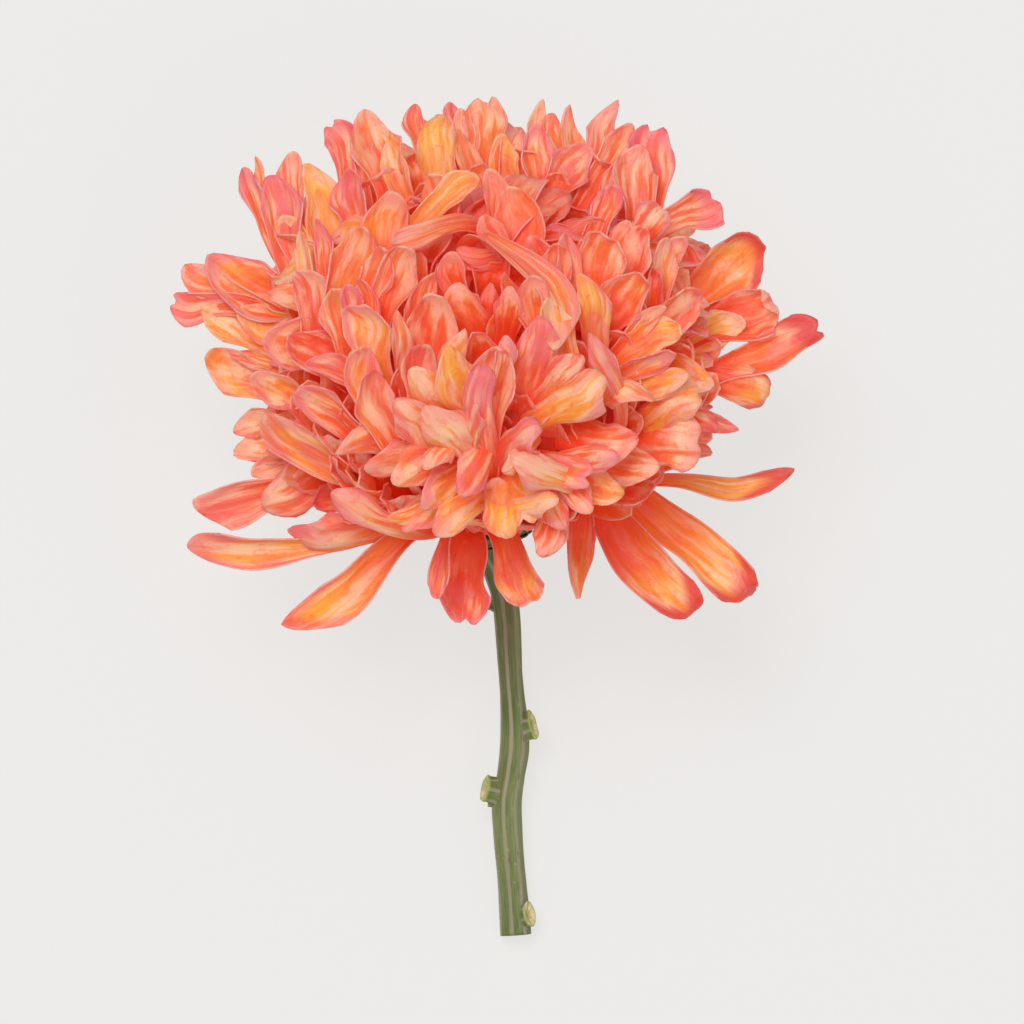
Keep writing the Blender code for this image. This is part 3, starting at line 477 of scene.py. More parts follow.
# A stub's rings: how far out, how wide and how cut they are, and its lobes, as count and depth
SCAR_PROFILE = (
    (0.0, 1.25, 0.0), (0.4, 1.02, 0.0), (0.75, 0.98, 0.08), (0.95, 1.04, 0.3), (1.0, 0.97, 0.55),
    (0.93, 0.78, 0.75), (0.8, 0.5, 0.85), (0.7, 0.22, 0.96), (0.66, 0.0, 1.0),
)
SCAR_RAGGED_FROM = 0.5
SCAR_LOBES = ((2, 0.6), (5, 0.4))

# Involucre: its cup's profile as height along the axis and radius, and its rows of bracts as count,
# foot height, tip height, how far they stand off the cup and how far their tips flare
CUP_PROFILE = ((-10, 3.4), (-8.6, 5), (-6, 7.4), (-3, 9.2), (-0.3, 9.8))
CUP_ROWS = 16
BRACT_ROWS = ((10, -9.6, -5.6, 0.5, 0.8), (12, -8.2, -3.4, 0.4, 0.9), (14, -6.0, -0.9, 0.3, 1.1))
BRACT_WIDTH = 4.6
BRACT_FOOT = 0.75
BRACT_SWELL = 0.45
BRACT_SHOULDER = 0.55
BRACT_POINT = 2.28
BRACT_POWER = 1.3
BRACT_HOLLOW = 0.35
BRACT_LEAST_REACH = 4.0
BRACT_STAGGER = 0.45
BRACT_TURN_DRAW = 0.15
BRACT_TIP_DRAW = 0.4
BRACT_THICKNESS = 0.35
BRACT_SIZE = (7, 9)

# Constants of the shaders, and colours in six digits
# The petals' emission is painted light: they glow a little though they are no lamp
PETAL_SHADER = {
    "Roughness": 0.45, "Subsurface Weight": 0.3, "Subsurface Radius": (1.0, 0.4, 0.2),
    "Subsurface Scale": 0.0025, "Sheen Weight": 0.1, "Emission Strength": 0.13,
}
STEM_SHADER = {
    "Roughness": 0.5, "Subsurface Weight": 0.08, "Subsurface Radius": (0.5, 1.0, 0.3),
    "Subsurface Scale": 0.001,
}
BRACT_SHADER = {**STEM_SHADER, "Roughness": 0.6, "Subsurface Weight": 0.05}
CORAL, ORANGE, YELLOW, PEACH = "EB6742", "F08C40", "F7B644", "F8CBA8"
BLUSH, ROSE, SCARLET, CRIMSON = "F8CCBC", "E5697C", "EC3A16", "CE3A3E"
HEART, HEART_SHADE = "E8380F", 0.75

# Distances from the middle of the bloom, in metres, over which painted shade turns its florets deep red
DEEP_SHADE_IN = 0.031
DEEP_SHADE_OUT = 0.047


def unit(vectors):
    return vectors / np.linalg.norm(vectors, axis=-1, keepdims=True)


def blend(start, end, share):
    return (1 - share) * start + share * end


def between(value, low, high):
    """0 up to low and 1 from high, even between."""
    return np.clip((value - low) / (high - low), 0, 1)


def ball_front(x, y):
    """Height toward the eye of the bloom's surface at x, y, or of its outline beyond that."""
    dx, dy = x - BALL_CENTRE[0], y - BALL_CENTRE[1]
    flattening = 1 / BALL_HALF_DEPTH**2 - 1 / BALL_RADIUS**2
    square = 1 / BALL_RADIUS**2 + flattening * AXIS[2] ** 2
    linear = flattening * AXIS[1] * AXIS[2] * dy
    constant = (dx**2 + dy**2) / BALL_RADIUS**2 + flattening * (AXIS[1] * dy) ** 2 - 1
    root = math.sqrt(max(linear**2 - square * constant, 0.0))
    off = math.hypot(x - POCKET[0], y - POCKET[1]) / POCKET_REACH
    return BALL_CENTRE[2] + (root - linear) / square - POCKET_DEPTH * math.exp(-0.5 * off**2)


def ball_normal(points):
    offset = points - BALL_CENTRE
    along = (offset @ AXIS)[..., None] * AXIS
    return unit(along / BALL_HALF_DEPTH**2 + (offset - along) / BALL_RADIUS**2)


def ball_point(scale, polar, ray):
    """The point at an angle from the crown on the ball made larger or smaller."""
    along = BALL_HALF_DEPTH * math.cos(polar) * AXIS
    return BALL_CENTRE + scale * (along + BALL_RADIUS * math.sin(polar) * ray)


def ray_at(turn):
    """The direction out from the axis at a turn from the front."""
    return math.cos(turn) * FRONT + math.sin(turn) * SIDE


def seen_at(x, y, z):
    """The point at height z that the eye sees at x, y."""
    nearer = 1 - z / EYE_DISTANCE
    return np.array([EYE_AIM[0] + (x - EYE_AIM[0]) * nearer, EYE_AIM[1] + (y - EYE_AIM[1]) * nearer, z])


def lay_down(points):
    """Facing frame in millimetres to the lying part in metres."""
    cos, sin = math.cos(LYING_TURN), math.sin(LYING_TURN)
    x, y, z = np.moveaxis(np.asarray(points), -1, 0)
    return (np.stack([x, y * cos - z * sin, y * sin + z * cos], axis=-1) + LYING_SHIFT) * MM


class Spine:
    """A smooth line through its knots, read by the distance along it."""

    def __init__(self, knots):
        self.knots = np.array(knots)
        steps = np.linalg.norm(np.diff(self.knots, axis=0), axis=1)
        self.marks = np.concatenate([[0.0], np.cumsum(steps)])
        slopes = np.diff(self.knots, axis=0) / steps[:, None]
        share = (steps[:-1] / (steps[:-1] + steps[1:]))[:, None]
        middle = slopes[:-1] * (1 - share) + slopes[1:] * share
        first = 1.5 * slopes[0] - 0.5 * middle[0]
        last = 1.5 * slopes[-1] - 0.5 * middle[-1]
        self.slopes = np.vstack([first, middle, last])
        self.length = self.marks[-1]

    def at(self, along):
        """Points and directions at these distances."""
        piece = np.clip(np.searchsorted(self.marks, along, side="right") - 1, 0, len(self.marks) - 2)
        step = (self.marks[piece + 1] - self.marks[piece])[..., None]
        t = (along - self.marks[piece])[..., None] / step
        a, b = self.knots[piece], self.knots[piece + 1]
        da, db = self.slopes[piece] * step, self.slopes[piece + 1] * step
        points = (2 * t**3 - 3 * t**2 + 1) * a + (t**3 - 2 * t**2 + t) * da
        points += (3 * t**2 - 2 * t**3) * b + (t**3 - t**2) * db
        ways = (6 * t**2 - 6 * t) * (a - b) + (3 * t**2 - 4 * t + 1) * da + (3 * t**2 - 2 * t) * db
        return points, unit(ways[..., :3])


def floret_spine(base, middle, tip):
    """The spine of a floret that leaves the receptacle under its base."""
    across = base - (base @ AXIS) * AXIS
    reach = min(ROOT_RADIUS / max(np.linalg.norm(across), TINY), 1.0)
    return Spine([ROOT_HEIGHT * AXIS + reach * across, base, middle, tip])


def seen_spine(floret, bend):
    """The spine of a floret that the eye sees, through its base, middle and tip."""
    tip = seen_at(floret.x, floret.y, ball_front(floret.x, floret.y) + floret.lift)
    shown = math.hypot(floret.x - floret.base_x, floret.y - floret.base_y)
    outward = min(max(1 - FORESHORTENING * shown / np.linalg.norm(tip), LEAST_OUTWARD), MOST_OUTWARD)
    base_z = outward * tip[2] + ARCH * 4 * outward * (1 - outward)
    base = seen_at(floret.base_x, floret.base_y, base_z)
    facing = unit(blend(ball_normal(0.5 * (base + tip)), EYE_WAY, BOW_TO_EYE))
    bow = -math.copysign(BOW, floret.cup) * np.linalg.norm(tip - base)
    middle = blend(base, tip, BOW_PLACE) + bow * facing + bend * np.cross(facing, tip - base)
    return floret_spine(base, middle, tip)


def core_radius(height):
    """The core's radius at a height along the axis: a cone up to its shoulder, then a dome."""
    along = (height - BALL_HEIGHT) / (BALL_HALF_DEPTH * CORE_SCALE)
    dome = BALL_RADIUS * CORE_SCALE * np.sqrt(np.clip(1 - along**2, 0, None))
    rise = between(height, 0, CORE_SHOULDER)
    return np.minimum(dome, CORE_FOOT_RADIUS + (BALL_RADIUS * CORE_SCALE - CORE_FOOT_RADIUS) * rise)


def core_pocket(radius):
    """How deep the core's crown is sunk at a radius from the axis."""
    return CORE_POCKET_DEPTH * np.exp(-0.5 * (radius / CORE_POCKET_REACH) ** 2)


def off_core(height, stand, ray):
    """A point that stands this far off the core's side."""
    return height * AXIS + (core_radius(height) + stand) * ray


def start_in_core(spine):
    """The outermost distance along a spine that is inside the core, where the floret starts."""
    along = np.linspace(0, spine.length, START_STEPS)
    points = spine.at(along)[0]
    height = points @ AXIS
    radius = np.linalg.norm(points - height[:, None] * AXIS, axis=-1)
    inside = radius < core_radius(height + core_pocket(radius)) - ROOT_SINK
    return along[np.nonzero(inside)[0].max()] if inside.any() else 0.0


def half_width(width, along, spine):
    """Half a floret's width at a distance along its spine, from a narrow root to its broad end."""
    base = spine.marks[1]
    taper = LONG_TAPER * between(spine.length - base, LONG_SHOWN, 2 * LONG_SHOWN)
    neck = BASE_WIDTH - taper
    hidden = ROOT_WIDTH + (neck - ROOT_WIDTH) * between(along, 0, base)
    swell = between(along, base, blend(base, spine.length, BROADEST))
    return 0.5 * width * (hidden + (1 - neck) * np.sin(0.5 * math.pi * swell) ** SWELL_POWER)


def shape_floret(spine, width, cup, tip, toward, roll, size, draw):
    """The points of a floret's surface in rows and columns, curled, cupped, fluted and waved."""
    columns, rows = size
    form = TIPS[tip]
    side_at = np.sin(0.5 * math.pi * np.linspace(-1, 1, columns))
    row_at = np.linspace(0, 1, rows)[:, None] ** ROW_CROWDING
    begin = start_in_core(spine)
    sign = math.copysign(1, cup)
    # Its length, with the end that curls, and how far each column is pulled in to round the tip
    curl = math.radians(form.curl * draw.uniform(*CURL_DRAW))
    radius = form.radius * width
    straight = spine.length - radius * math.sin(min(curl, 0.5 * math.pi))
    length = straight + radius * curl
    leaning = side_at - draw.uniform(-TIP_LEAN, TIP_LEAN) * (1 - side_at**2)
    pulled = form.length * width * np.abs(leaning) ** form.power
    pulled = pulled + form.notch * width * np.exp(-((leaning / NOTCH_WIDTH) ** 2))
    pulled *= min(1.0, MOST_ROUNDING * (length - begin) / pulled.max())
    along = begin + (length - pulled - begin) * row_at
    open_share = between(along, begin, length)
    shown = between(along, spine.marks[1], length)
    # Its middle line, and the directions across it and up from it, turned and then curled
    points, ways = spine.at(np.minimum(along, straight))
    face = blend(ball_normal(spine.knots[2]), toward, FACE_TO_EYE)
    across = np.cross(spine.knots[3] - spine.knots[1], face)
    sides = unit(across - (ways @ across)[..., None] * ways)
    ups = np.cross(sides, ways)
    turned = (roll + draw.uniform(-TWIST_DRAW, TWIST_DRAW) * shown)[..., None]
    sides, ups = np.cos(turned) * sides + np.sin(turned) * ups, np.cos(turned) * ups - np.sin(turned) * sides
    bend = np.clip((along - straight) / radius, 0, None)[..., None]
    points = points + radius * np.sin(bend) * ways + radius * (1 - np.cos(bend)) * sign * ups
    ups = np.cos(bend) * ups - sign * np.sin(bend) * ways
    # Its section at each row: x across and z up, cupped, with channels, a rolled rim and crinkles
    phase = draw.uniform(0, 2 * math.pi, 4)
    waves = 2 * math.pi * draw.uniform(*WAVES_DRAW, 2)
    left, right = (np.sin(waves[index] * open_share + phase[index]) for index in (0, 1))
    half = half_width(width, np.minimum(along, spine.length), spine)
    half = half * (1 + EDGE_WAVE * np.where(side_at < 0, left, right) * np.abs(side_at))
    angle = (CUP_LEAST + CUP_GROWTH * abs(cup)) * (CUP_AT_ROOT - CUP_OPENING * open_share)
    x = half * np.sin(angle * side_at) / np.sin(np.minimum(angle, 0.5 * math.pi))
    uneven = 1 + draw.uniform(-CUP_UNEVEN, CUP_UNEVEN) * side_at
    z = sign * half * uneven * (1 - np.cos(angle * side_at)) / angle
    channels = np.cos(math.pi * (draw.uniform(*CHANNELS_DRAW) * side_at + CHANNELS_SHIFT * np.sin(phase[2])))
    open_part = np.sin(math.pi * np.clip(open_share, 0, CHANNELS_END))
    z = z + draw.uniform(*FLUTE_DRAW) * half * channels * open_part
    rim = between(np.abs(side_at), RIM_START, 1) ** 2 * open_share
    ripple = RIM_RIPPLE * (1 + RUFFLE * (cup < 0))
    z = z + half * rim * (sign * RIM_ROLL + ripple * np.where(side_at < 0, right, left))
    crinkles = np.sin(CRINKLES * waves[0] * open_share + phase[3] + CRINKLE_SLANT * side_at)
    z = z + CRINKLE * half * crinkles * open_share
    x = x + SWAY * width * np.sin(0.5 * waves[1] * shown + phase[0]) * shown
    return points + x[..., None] * sides + z[..., None] * ups


def add_object(name, data):
    made = bpy.data.objects.new(name, data)
    bpy.context.scene.collection.objects.link(made)
    return made


def blank_sheet(size):
    """A flat grid with its own UV map, which each floret's mesh is copied from."""
    columns, rows = size
    bpy.ops.mesh.primitive_grid_add(x_subdivisions=columns - 1, y_subdivisions=rows - 1, size=1)
    blank = bpy.context.active_object
    blank.data.uv_layers[0].name = "Floret"
    return blank


def add_floret(blank, points, tint):
    """A copy of the blank with its vertices at these points, and its tint as an attribute."""
    mesh = blank.data.copy()
    flat = lay_down(points)
    flat[..., 2] = np.maximum(flat[..., 2], THICKNESS * MM)
    mesh.vertices.foreach_set("co", flat.astype(np.float32).ravel())
    colours = mesh.color_attributes.new("Tint", "FLOAT_COLOR", "POINT")
    colours.data.foreach_set("color", np.tile(np.array(tint, np.float32), len(mesh.vertices)))
    return add_object("floret", mesh)


def join_pieces(name, pieces, thickness=0.0):
    """One smooth piece of these, with a wall where they are sheets."""
    bpy.ops.object.select_all(action="DESELECT")
    for piece in pieces:
        piece.select_set(True)
    bpy.context.view_layer.objects.active = pieces[0]
    bpy.ops.object.join()
    joined = bpy.context.active_object
    joined.name = name
    if thickness:
        wall = joined.modifiers.new("wall", "SOLIDIFY")
        wall.thickness = thickness * MM
        wall.offset = 0.0
        bpy.ops.object.modifier_apply(modifier=wall.name)
    bpy.ops.object.shade_smooth()
    joined.select_set(False)
    return joined


def varied_tint(tint, draw):
    return np.clip(np.array(TINTS[tint]) + draw.uniform(-TINT_DRAW, TINT_DRAW, 4), 0, 1)


def build_seen(name, rows, blank, draw):
    """A piece of the florets in these rows of a table."""
    pieces = []
    for floret in (Floret(*row) for row in rows):
        bend = draw.uniform(-BEND_DRAW, BEND_DRAW) if floret.bend is None else floret.bend
        roll = draw.uniform(-ROLL_DRAW, ROLL_DRAW) if floret.roll is None else floret.roll
        spine, roll = seen_spine(floret, bend), math.radians(roll)
        points = shape_floret(spine, floret.width, floret.cup, floret.tip, EYE_WAY, roll, FINE, draw)
        pieces.append(add_floret(blank, points, varied_tint(floret.tint, draw)))
    return join_pieces(name, pieces, THICKNESS)


def build_hidden(name, spines, toward, blank, tints, draw):
    """A piece of florets along these spines, each with its width."""
    pieces = []
    for spine, width in spines:
        tip = HIDDEN_TIPS[draw.integers(len(HIDDEN_TIPS))]
        roll = math.radians(draw.uniform(-ROLL_DRAW, ROLL_DRAW))
        points = shape_floret(spine, width, HIDDEN_CUP, tip, toward, roll, COARSE, draw)
        pieces.append(add_floret(blank, points, varied_tint(tints[draw.integers(len(tints))], draw)))
    return join_pieces(name, pieces, THICKNESS)


def drawn_ray(place, count, draw):
    """The direction of one of the florets in a ring, a little off its even place."""
    return ray_at(2 * math.pi * (place + draw.uniform(-TURN_DRAW, TURN_DRAW)) / count)


def back_spines(draw):
    """Spines and widths of the long florets on the hidden back, row by row."""
    for row, (height, radius, count, width) in enumerate(BACK_ROWS):
        for index in range(count):
            ray = drawn_ray(index + 0.5 * (row % 2), count, draw)
            reach = min(radius * draw.uniform(*REACH_DRAW), BACK_REACH / max(abs(ray[0]), TINY))
            tip = (height + draw.uniform(-HEIGHT_DRAW, HEIGHT_DRAW)) * AXIS + reach * ray
            above_floor = lay_down(tip)[2] / MM
            if row < SAGGING_ROWS and above_floor < MOST_SAG:
                tip -= above_floor * LYING_UP
            size = width * draw.uniform(*WIDTH_DRAW)
            if tip[2] > ball_front(tip[0], tip[1]) - BEHIND_OUTLINE:
                continue
            if abs(tip[0]) > BARE_REACH and tip[1] < BARE_HEIGHT:
                continue
            base = BACK_BASE * tip + (BACK_ARCH + BACK_ARCH_GROWTH * height) * AXIS
            middle = blend(base, tip, BACK_BOW_PLACE) + (BACK_BOW + BACK_BOW_GROWTH * height) * AXIS
            yield floret_spine(base, middle, tip), size


def dome_draws(polar, widest, spacing, draw):
    """Direction, angle from the crown, reach and width of each floret in a ring round the dome."""
    count = round(2 * math.pi * BALL_RADIUS * math.sin(widest) / spacing)
    for index in range(count):
        ray = drawn_ray(index, count, draw)
        drawn_polar = polar + DOME_POLAR_DRAW * draw.uniform(-1.0, 1.0)
        reach = draw.uniform(*REACH_DRAW)
        yield ray, drawn_polar, reach, DOME_WIDTH * draw.uniform(*WIDTH_DRAW)


def dome_spines(draw):
    """Spines and widths of the short florets that close the dome."""
    for tip_polar, base_polar in np.radians(DOME_ROWS):
        widest = max(tip_polar, base_polar)
        for ray, polar, reach, width in dome_draws(tip_polar, widest, DOME_SPACING, draw):
            scale = DOME_SCALE * reach
            tip = ball_point(scale, polar, ray)
            if ball_normal(tip)[2] > DOME_FACING or tip @ AXIS < DOME_FOOT or abs(tip[0]) > BACK_REACH:
                continue
            base = ball_point(DOME_BASE_SCALE, base_polar, ray)
            middle = ball_point(scale - DOME_BOW, blend(base_polar, polar, DOME_BOW_PLACE), ray)
            yield floret_spine(base, middle, tip), width


def behind_spines(draw):
    """Spines and widths of the florets behind the crown, which point away from it."""
    for row in np.radians(BEHIND_ROWS):
        for ray, polar, reach, width in dome_draws(row, row, BEHIND_SPACING, draw):
            facing = ball_normal(ball_point(1.0, polar, ray))[2]
            scale = (BEHIND_SCALE - BEHIND_SINK * between(facing, DOME_FACING, BEHIND_SUNK_FACING)) * reach
            tip = ball_point(scale, polar, ray)
            if ray @ FRONT > BEHIND_SIDE or facing < DOME_FACING or abs(tip[0]) > BACK_REACH:
                continue
            base = ball_point(BEHIND_BASE_SCALE, polar - BEHIND_LEAN, ray)
            middle = ball_point(scale - DOME_BOW, polar - BEHIND_BOW_PLACE * BEHIND_LEAN, ray)
            yield floret_spine(base, middle, tip), width


def apron_spines(draw):
    """Spines and widths of the short florets over the underside at the front."""
    for height, stand in APRON_ROWS:
        foot = max(height - APRON_SHOWN, ROOT_HEIGHT)
        count = round(2 * APRON_TURN * float(core_radius(height)) / APRON_SPACING)
        for index in range(count):
            ray = ray_at(APRON_TURN * (2 * (index + 0.5 + draw.uniform(-TURN_DRAW, TURN_DRAW)) / count - 1))
            tip = off_core(height, stand * draw.uniform(*WIDTH_DRAW), ray)
            base = off_core(foot, -2 * ROOT_SINK, ray)
            middle = off_core(blend(foot, height, BOW_PLACE), APRON_BOW, ray)
            yield floret_spine(base, middle, tip), APRON_WIDTH * draw.uniform(*WIDTH_DRAW)


def inner_spines(draw):
    """Spines and widths of the florets deeper in, spread evenly over the ball."""
    for index in range(INNER_COUNT):
        polar = math.acos(1 - INNER_SPREAD * (index + 0.5) / INNER_COUNT)
        ray = ray_at(index * GOLDEN_TURN)
        scale = draw.uniform(*INNER_SCALE)
        tip = ball_point(scale, polar, ray)
        if math.hypot(tip[0] - POCKET[0], tip[1] - POCKET[1]) < INNER_POCKET_REACH and tip[2] > 0:
            tip = tip - INNER_POCKET_DEPTH * EYE_WAY
        if tip[1] < INNER_LOWEST and tip[2] > 0:
            continue
        base = ball_point(INNER_BASE_SCALE * scale, polar + INNER_LEAN, ray)
        middle = ball_point(INNER_MIDDLE_SCALE * scale, polar + INNER_BOW_PLACE * INNER_LEAN, ray)
        yield floret_spine(base, middle, tip), draw.uniform(*INNER_WIDTH)


def close_mesh(mesh):
    """Welds a skin's seam and ends, and turns its faces outwards."""
    shape = bmesh.new()
    shape.from_mesh(mesh)
    bmesh.ops.remove_doubles(shape, verts=shape.verts, dist=WELD)
    bmesh.ops.recalc_face_normals(shape, faces=shape.faces)
    shape.to_mesh(mesh)
    shape.free()


def build_core():
    """The heart of the bloom behind the florets."""
    bpy.ops.mesh.primitive_uv_sphere_add(segments=CORE_SIZE[0], ring_count=CORE_SIZE[1], radius=1.0)
    core = bpy.context.active_object
    core.name = "bloom_heart"
    top = BALL_HEIGHT + BALL_HALF_DEPTH * CORE_SCALE
    for vertex in core.data.vertices:
        x, y, z = vertex.co
        across = math.hypot(x, y)
        height = 0.5 * (1 + z) * top
        radius = core_radius(height) if across > TINY else 0.0
        ray = (x * SIDE + y * FRONT) / max(across, TINY)
        if z > 0:
            height -= core_pocket(radius)
        vertex.co = Vector(lay_down(height * AXIS + radius * ray))
    close_mesh(core.data)
    bpy.ops.object.shade_smooth()
    core.select_set(False)
    return core


def srgb(text):
    """A colour written as six hexadecimal digits, in the renderer's linear values."""
    parts = [int(text[index:index + 2], 16) / 255 for index in (0, 2, 4)]
    return tuple(part / 12.92 if part < 0.04045 else ((part + 0.055) / 1.055) ** 2.4 for part in parts)


class Value:
    """A socket of a material, which sums and products can be written with."""

    def __init__(self, finish, socket):
        self.finish = finish
        self.socket = socket

    def __add__(self, other):
        return self.finish.maths("ADD", self, other)

    def __sub__(self, other):
        return self.finish.maths("SUBTRACT", self, other)

    def __rsub__(self, other):
        return self.finish.maths("SUBTRACT", other, self)

    def __mul__(self, other):
        return self.finish.maths("MULTIPLY", self, other)

    def __abs__(self):
        return self.finish.maths("ABSOLUTE", self)

    __radd__ = __add__
    __rmul__ = __mul__


class Finish:
    """A material with a Principled shader."""

    def __init__(self, name, constants):
        self.material = bpy.data.materials.new(name)
        self.material.use_nodes = True
        self.tree = self.material.node_tree
        self.shader = self.tree.nodes["Principled BSDF"]
        self.feed(self.shader, constants)

    def feed(self, node, sockets):
        """Gives a node's sockets their values or links. A colour is linear, or six digits."""
        for key, value in sockets.items():
            socket = node.inputs[key]
            if isinstance(value, Value):
                self.tree.links.new(value.socket, socket)
            elif socket.type == "RGBA":
                socket.default_value = (*(srgb(value) if isinstance(value, str) else value), 1.0)
            else:
                socket.default_value = value

    def node(self, kind, sockets, **settings):
        """The outputs of a new node."""
        made = self.tree.nodes.new(kind)
        for key, value in settings.items():
            setattr(made, key, value)
        self.feed(made, sockets)
        return [Value(self, socket) for socket in made.outputs]

    def maths(self, operation, *values):
        return self.node("ShaderNodeMath", dict(enumerate(values)), operation=operation)[0]

    def mix(self, share, first, second):
        return self.node("ShaderNodeMix", {0: share, 6: first, 7: second}, data_type="RGBA")[2]

    def noise(self, place, scale, detail=3.0, roughness=0.5):
        sockets = {"Vector": place, "Scale": scale, "Detail": detail, "Roughness": roughness}
        return self.node("ShaderNodeTexNoise", sockets)[0]

    def pattern(self, x, y, z, detail, roughness=0.5):
        """Noise at a place of the piece's own."""
        return self.noise(self.node("ShaderNodeCombineXYZ", {0: x, 1: y, 2: z})[0], 1.0, detail, roughness)

    def ramp(self, value, low, high):
        """0 below low and 1 above high, smooth between."""
        sockets = {0: value, 1: low, 2: high}
        return self.node("ShaderNodeMapRange", sockets, interpolation_type="SMOOTHSTEP")[0]

    def paint(self, colour, *layers):
        """Colours over one another: what a layer follows, where it starts and is full, its strength
        and its colour."""
        for value, low, high, strength, over in layers:
            colour = self.mix(self.ramp(value, low, high) * strength, colour, over)
        return colour

    def split(self, vector):
        return self.node("ShaderNodeSeparateXYZ", {0: vector})

    def place(self):
        return self.node("ShaderNodeTexCoord", {})[3]

    def uv(self, name):
        """Across and along a piece, from its UV map."""
        return self.split(self.node("ShaderNodeUVMap", {}, uv_map=name)[0])[:2]

    def attribute(self, name):
        """An attribute as a colour, and its fourth value."""
        outputs = self.node("ShaderNodeAttribute", {}, attribute_name=name)
        return outputs[0], outputs[3]

    def distance(self, place, point):
        return self.node("ShaderNodeVectorMath", {0: place, 1: tuple(point)}, operation="DISTANCE")[1]

    def finish(self, colour, height, strength, distance):
        """The material with its colour and relief."""
        relief = {"Height": height, "Strength": strength, "Distance": distance}
        normal = self.node("ShaderNodeBump", relief)[0]
        self.feed(self.shader, {"Base Color": colour, "Normal": normal})
        return self.material


def petal_finish():
    made = Finish("petal", PETAL_SHADER)
    across, along = made.uv("Floret")
    tint, yellow = made.attribute("Tint")
    orange, pink, red = made.split(tint)
    place = made.place()
    depth = made.distance(place, lay_down(BALL_CENTRE))
    rim = abs(across - 0.5) * 2
    # Each floret has its own part of the patterns, by its tint
    phase = orange * 17 + red * 31 + pink * 7
    patch = made.noise(place, 70.0, 2.0)
    fleck = made.noise(place, 420.0)
    wander = across + (patch - 0.5) * 0.35
    wash = made.pattern(across * 2.2 + phase, along * 2.6 - phase, phase, 2.0)
    bands = made.pattern(wander * 5 + phase, along * 1.8, phase, 1.0)
    streaks = made.pattern(wander * 11 + phase, along * 2.6, phase, 2.0)
    veins = made.pattern(across * 40 + phase, along * 2.6, phase, 2.0)
    crease = made.pattern(wander * 8 + phase, along * 11 - phase, phase, 3.0, 0.6)
    colour = made.paint(
        CORAL,
        (orange + bands + patch * 0.6, 0.85, 1.6, 1.0, ORANGE),
        (wash + yellow * 0.6 + orange * 0.12, 0.62, 1.0, 0.8, YELLOW),
        # Pale peach streaks: partly the florets' own paler streaks, partly painted highlight
        (streaks + bands * 0.6 + along * 0.25, 0.88, 1.12, 0.8, PEACH),
        (streaks, 0.47, 0.3, 0.3, SCARLET),
        (veins, 0.55, 0.75, 0.25, PEACH),
        (veins, 0.45, 0.25, 0.22, SCARLET),
        (wash, 0.5, 0.36, 0.08 + pink * 0.5, ROSE),
        (rim + bands * 0.7 + patch * 0.3, 0.95, 1.45, 0.05 + pink * 0.6, ROSE),
        # Scarlet toward each root: partly the florets' own redder bases, partly painted shade between them
        (along + streaks * 0.15, 0.88, 0.38, 0.55 + red * 0.4 - yellow * 0.8, SCARLET),
        # Painted shade: deep red on the florets deep in the bloom
        (depth, DEEP_SHADE_OUT, DEEP_SHADE_IN, 0.75, SCARLET),
        (along + rim * 0.05 + streaks * 0.25, 0.88, 1.12, 0.1 + pink * 0.6, ROSE),
        (along + streaks * 0.2, 0.86, 1.0, made.ramp(red, 0.6, 0.9) * 0.85, CRIMSON),
        (rim + streaks * 0.2, 0.95, 1.1, 0.1 + pink * 0.35, BLUSH),
        (fleck, 0.6, 0.8, 0.15, PEACH),
        (crease, 0.55, 0.62, made.ramp(crease, 0.7, 0.62) * 0.3, SCARLET),
    )
    # Painted light: the florets glow, scarlet and more so deep in the bloom, though they are no lamp
    glow = made.mix(0.35 + made.ramp(depth, DEEP_SHADE_OUT, DEEP_SHADE_IN) * 0.525, colour, SCARLET)
    made.feed(made.shader, {"Emission Color": glow, "Roughness": 0.4 + fleck * 0.2})
    return made.finish(colour, veins * 0.5 + streaks * 0.5 + crease * 0.8 + fleck * 0.15, 0.45, 0.0006)


def stem_finish():
    """Ribs run along the stem: along is in millimetres and around is in turns."""
    made = Finish("stem", STEM_SHADER)
    around, along = made.uv("Stem")
    cut, _ = made.attribute("Cut")
    place = made.place()
    ribs = made.maths("COSINE", around * (2 * math.pi * STEM_RIBS))
    grain = made.pattern(around * 60, along * 0.25, 0.0, 3.0)
    strength = made.ramp(made.pattern(around * 5, along * 0.02, 7.0, 1.0), 0.25, 0.6)
    scratch = made.pattern(around * 22, along * 0.16, 3.0, 3.0)
    patch = made.noise(place, 55.0, 2.0)
    fleck = made.noise(place, 900.0, 2.0)
    pith = made.paint("DCCBA0", (made.noise(place, 700.0), 0.35, 0.65, 1.0, "B9B878"))
    colour = made.paint(
        "5A6B33",
        (patch + grain * 0.4, 0.5, 0.95, 1.0, "7C8550"),
        (grain, 0.55, 0.3, 0.4, "4C5E2A"),
        (ribs + grain * 0.5, 0.45, 1.15, 0.25 + strength * 0.6, "A39A80"),
        (fleck + patch * 0.2, 0.78, 0.9, 0.5, "B9B488"),
        (scratch, 0.64, 0.74, 0.7, "6B4A2C"),
        (cut, 0.1, 0.35, made.ramp(cut, 0.75, 0.45), "9DB054"),
        (cut + grain * 0.1, 0.5, 0.7, 1.0, pith),
        (cut, 0.8, 0.98, 0.7, "8E9A48"),
    )
    made.feed(made.shader, {"Roughness": 0.42 + grain * 0.25})
    return made.finish(colour, ribs * 0.6 + grain * 0.5 + fleck * 0.15, 0.5, 0.0003)


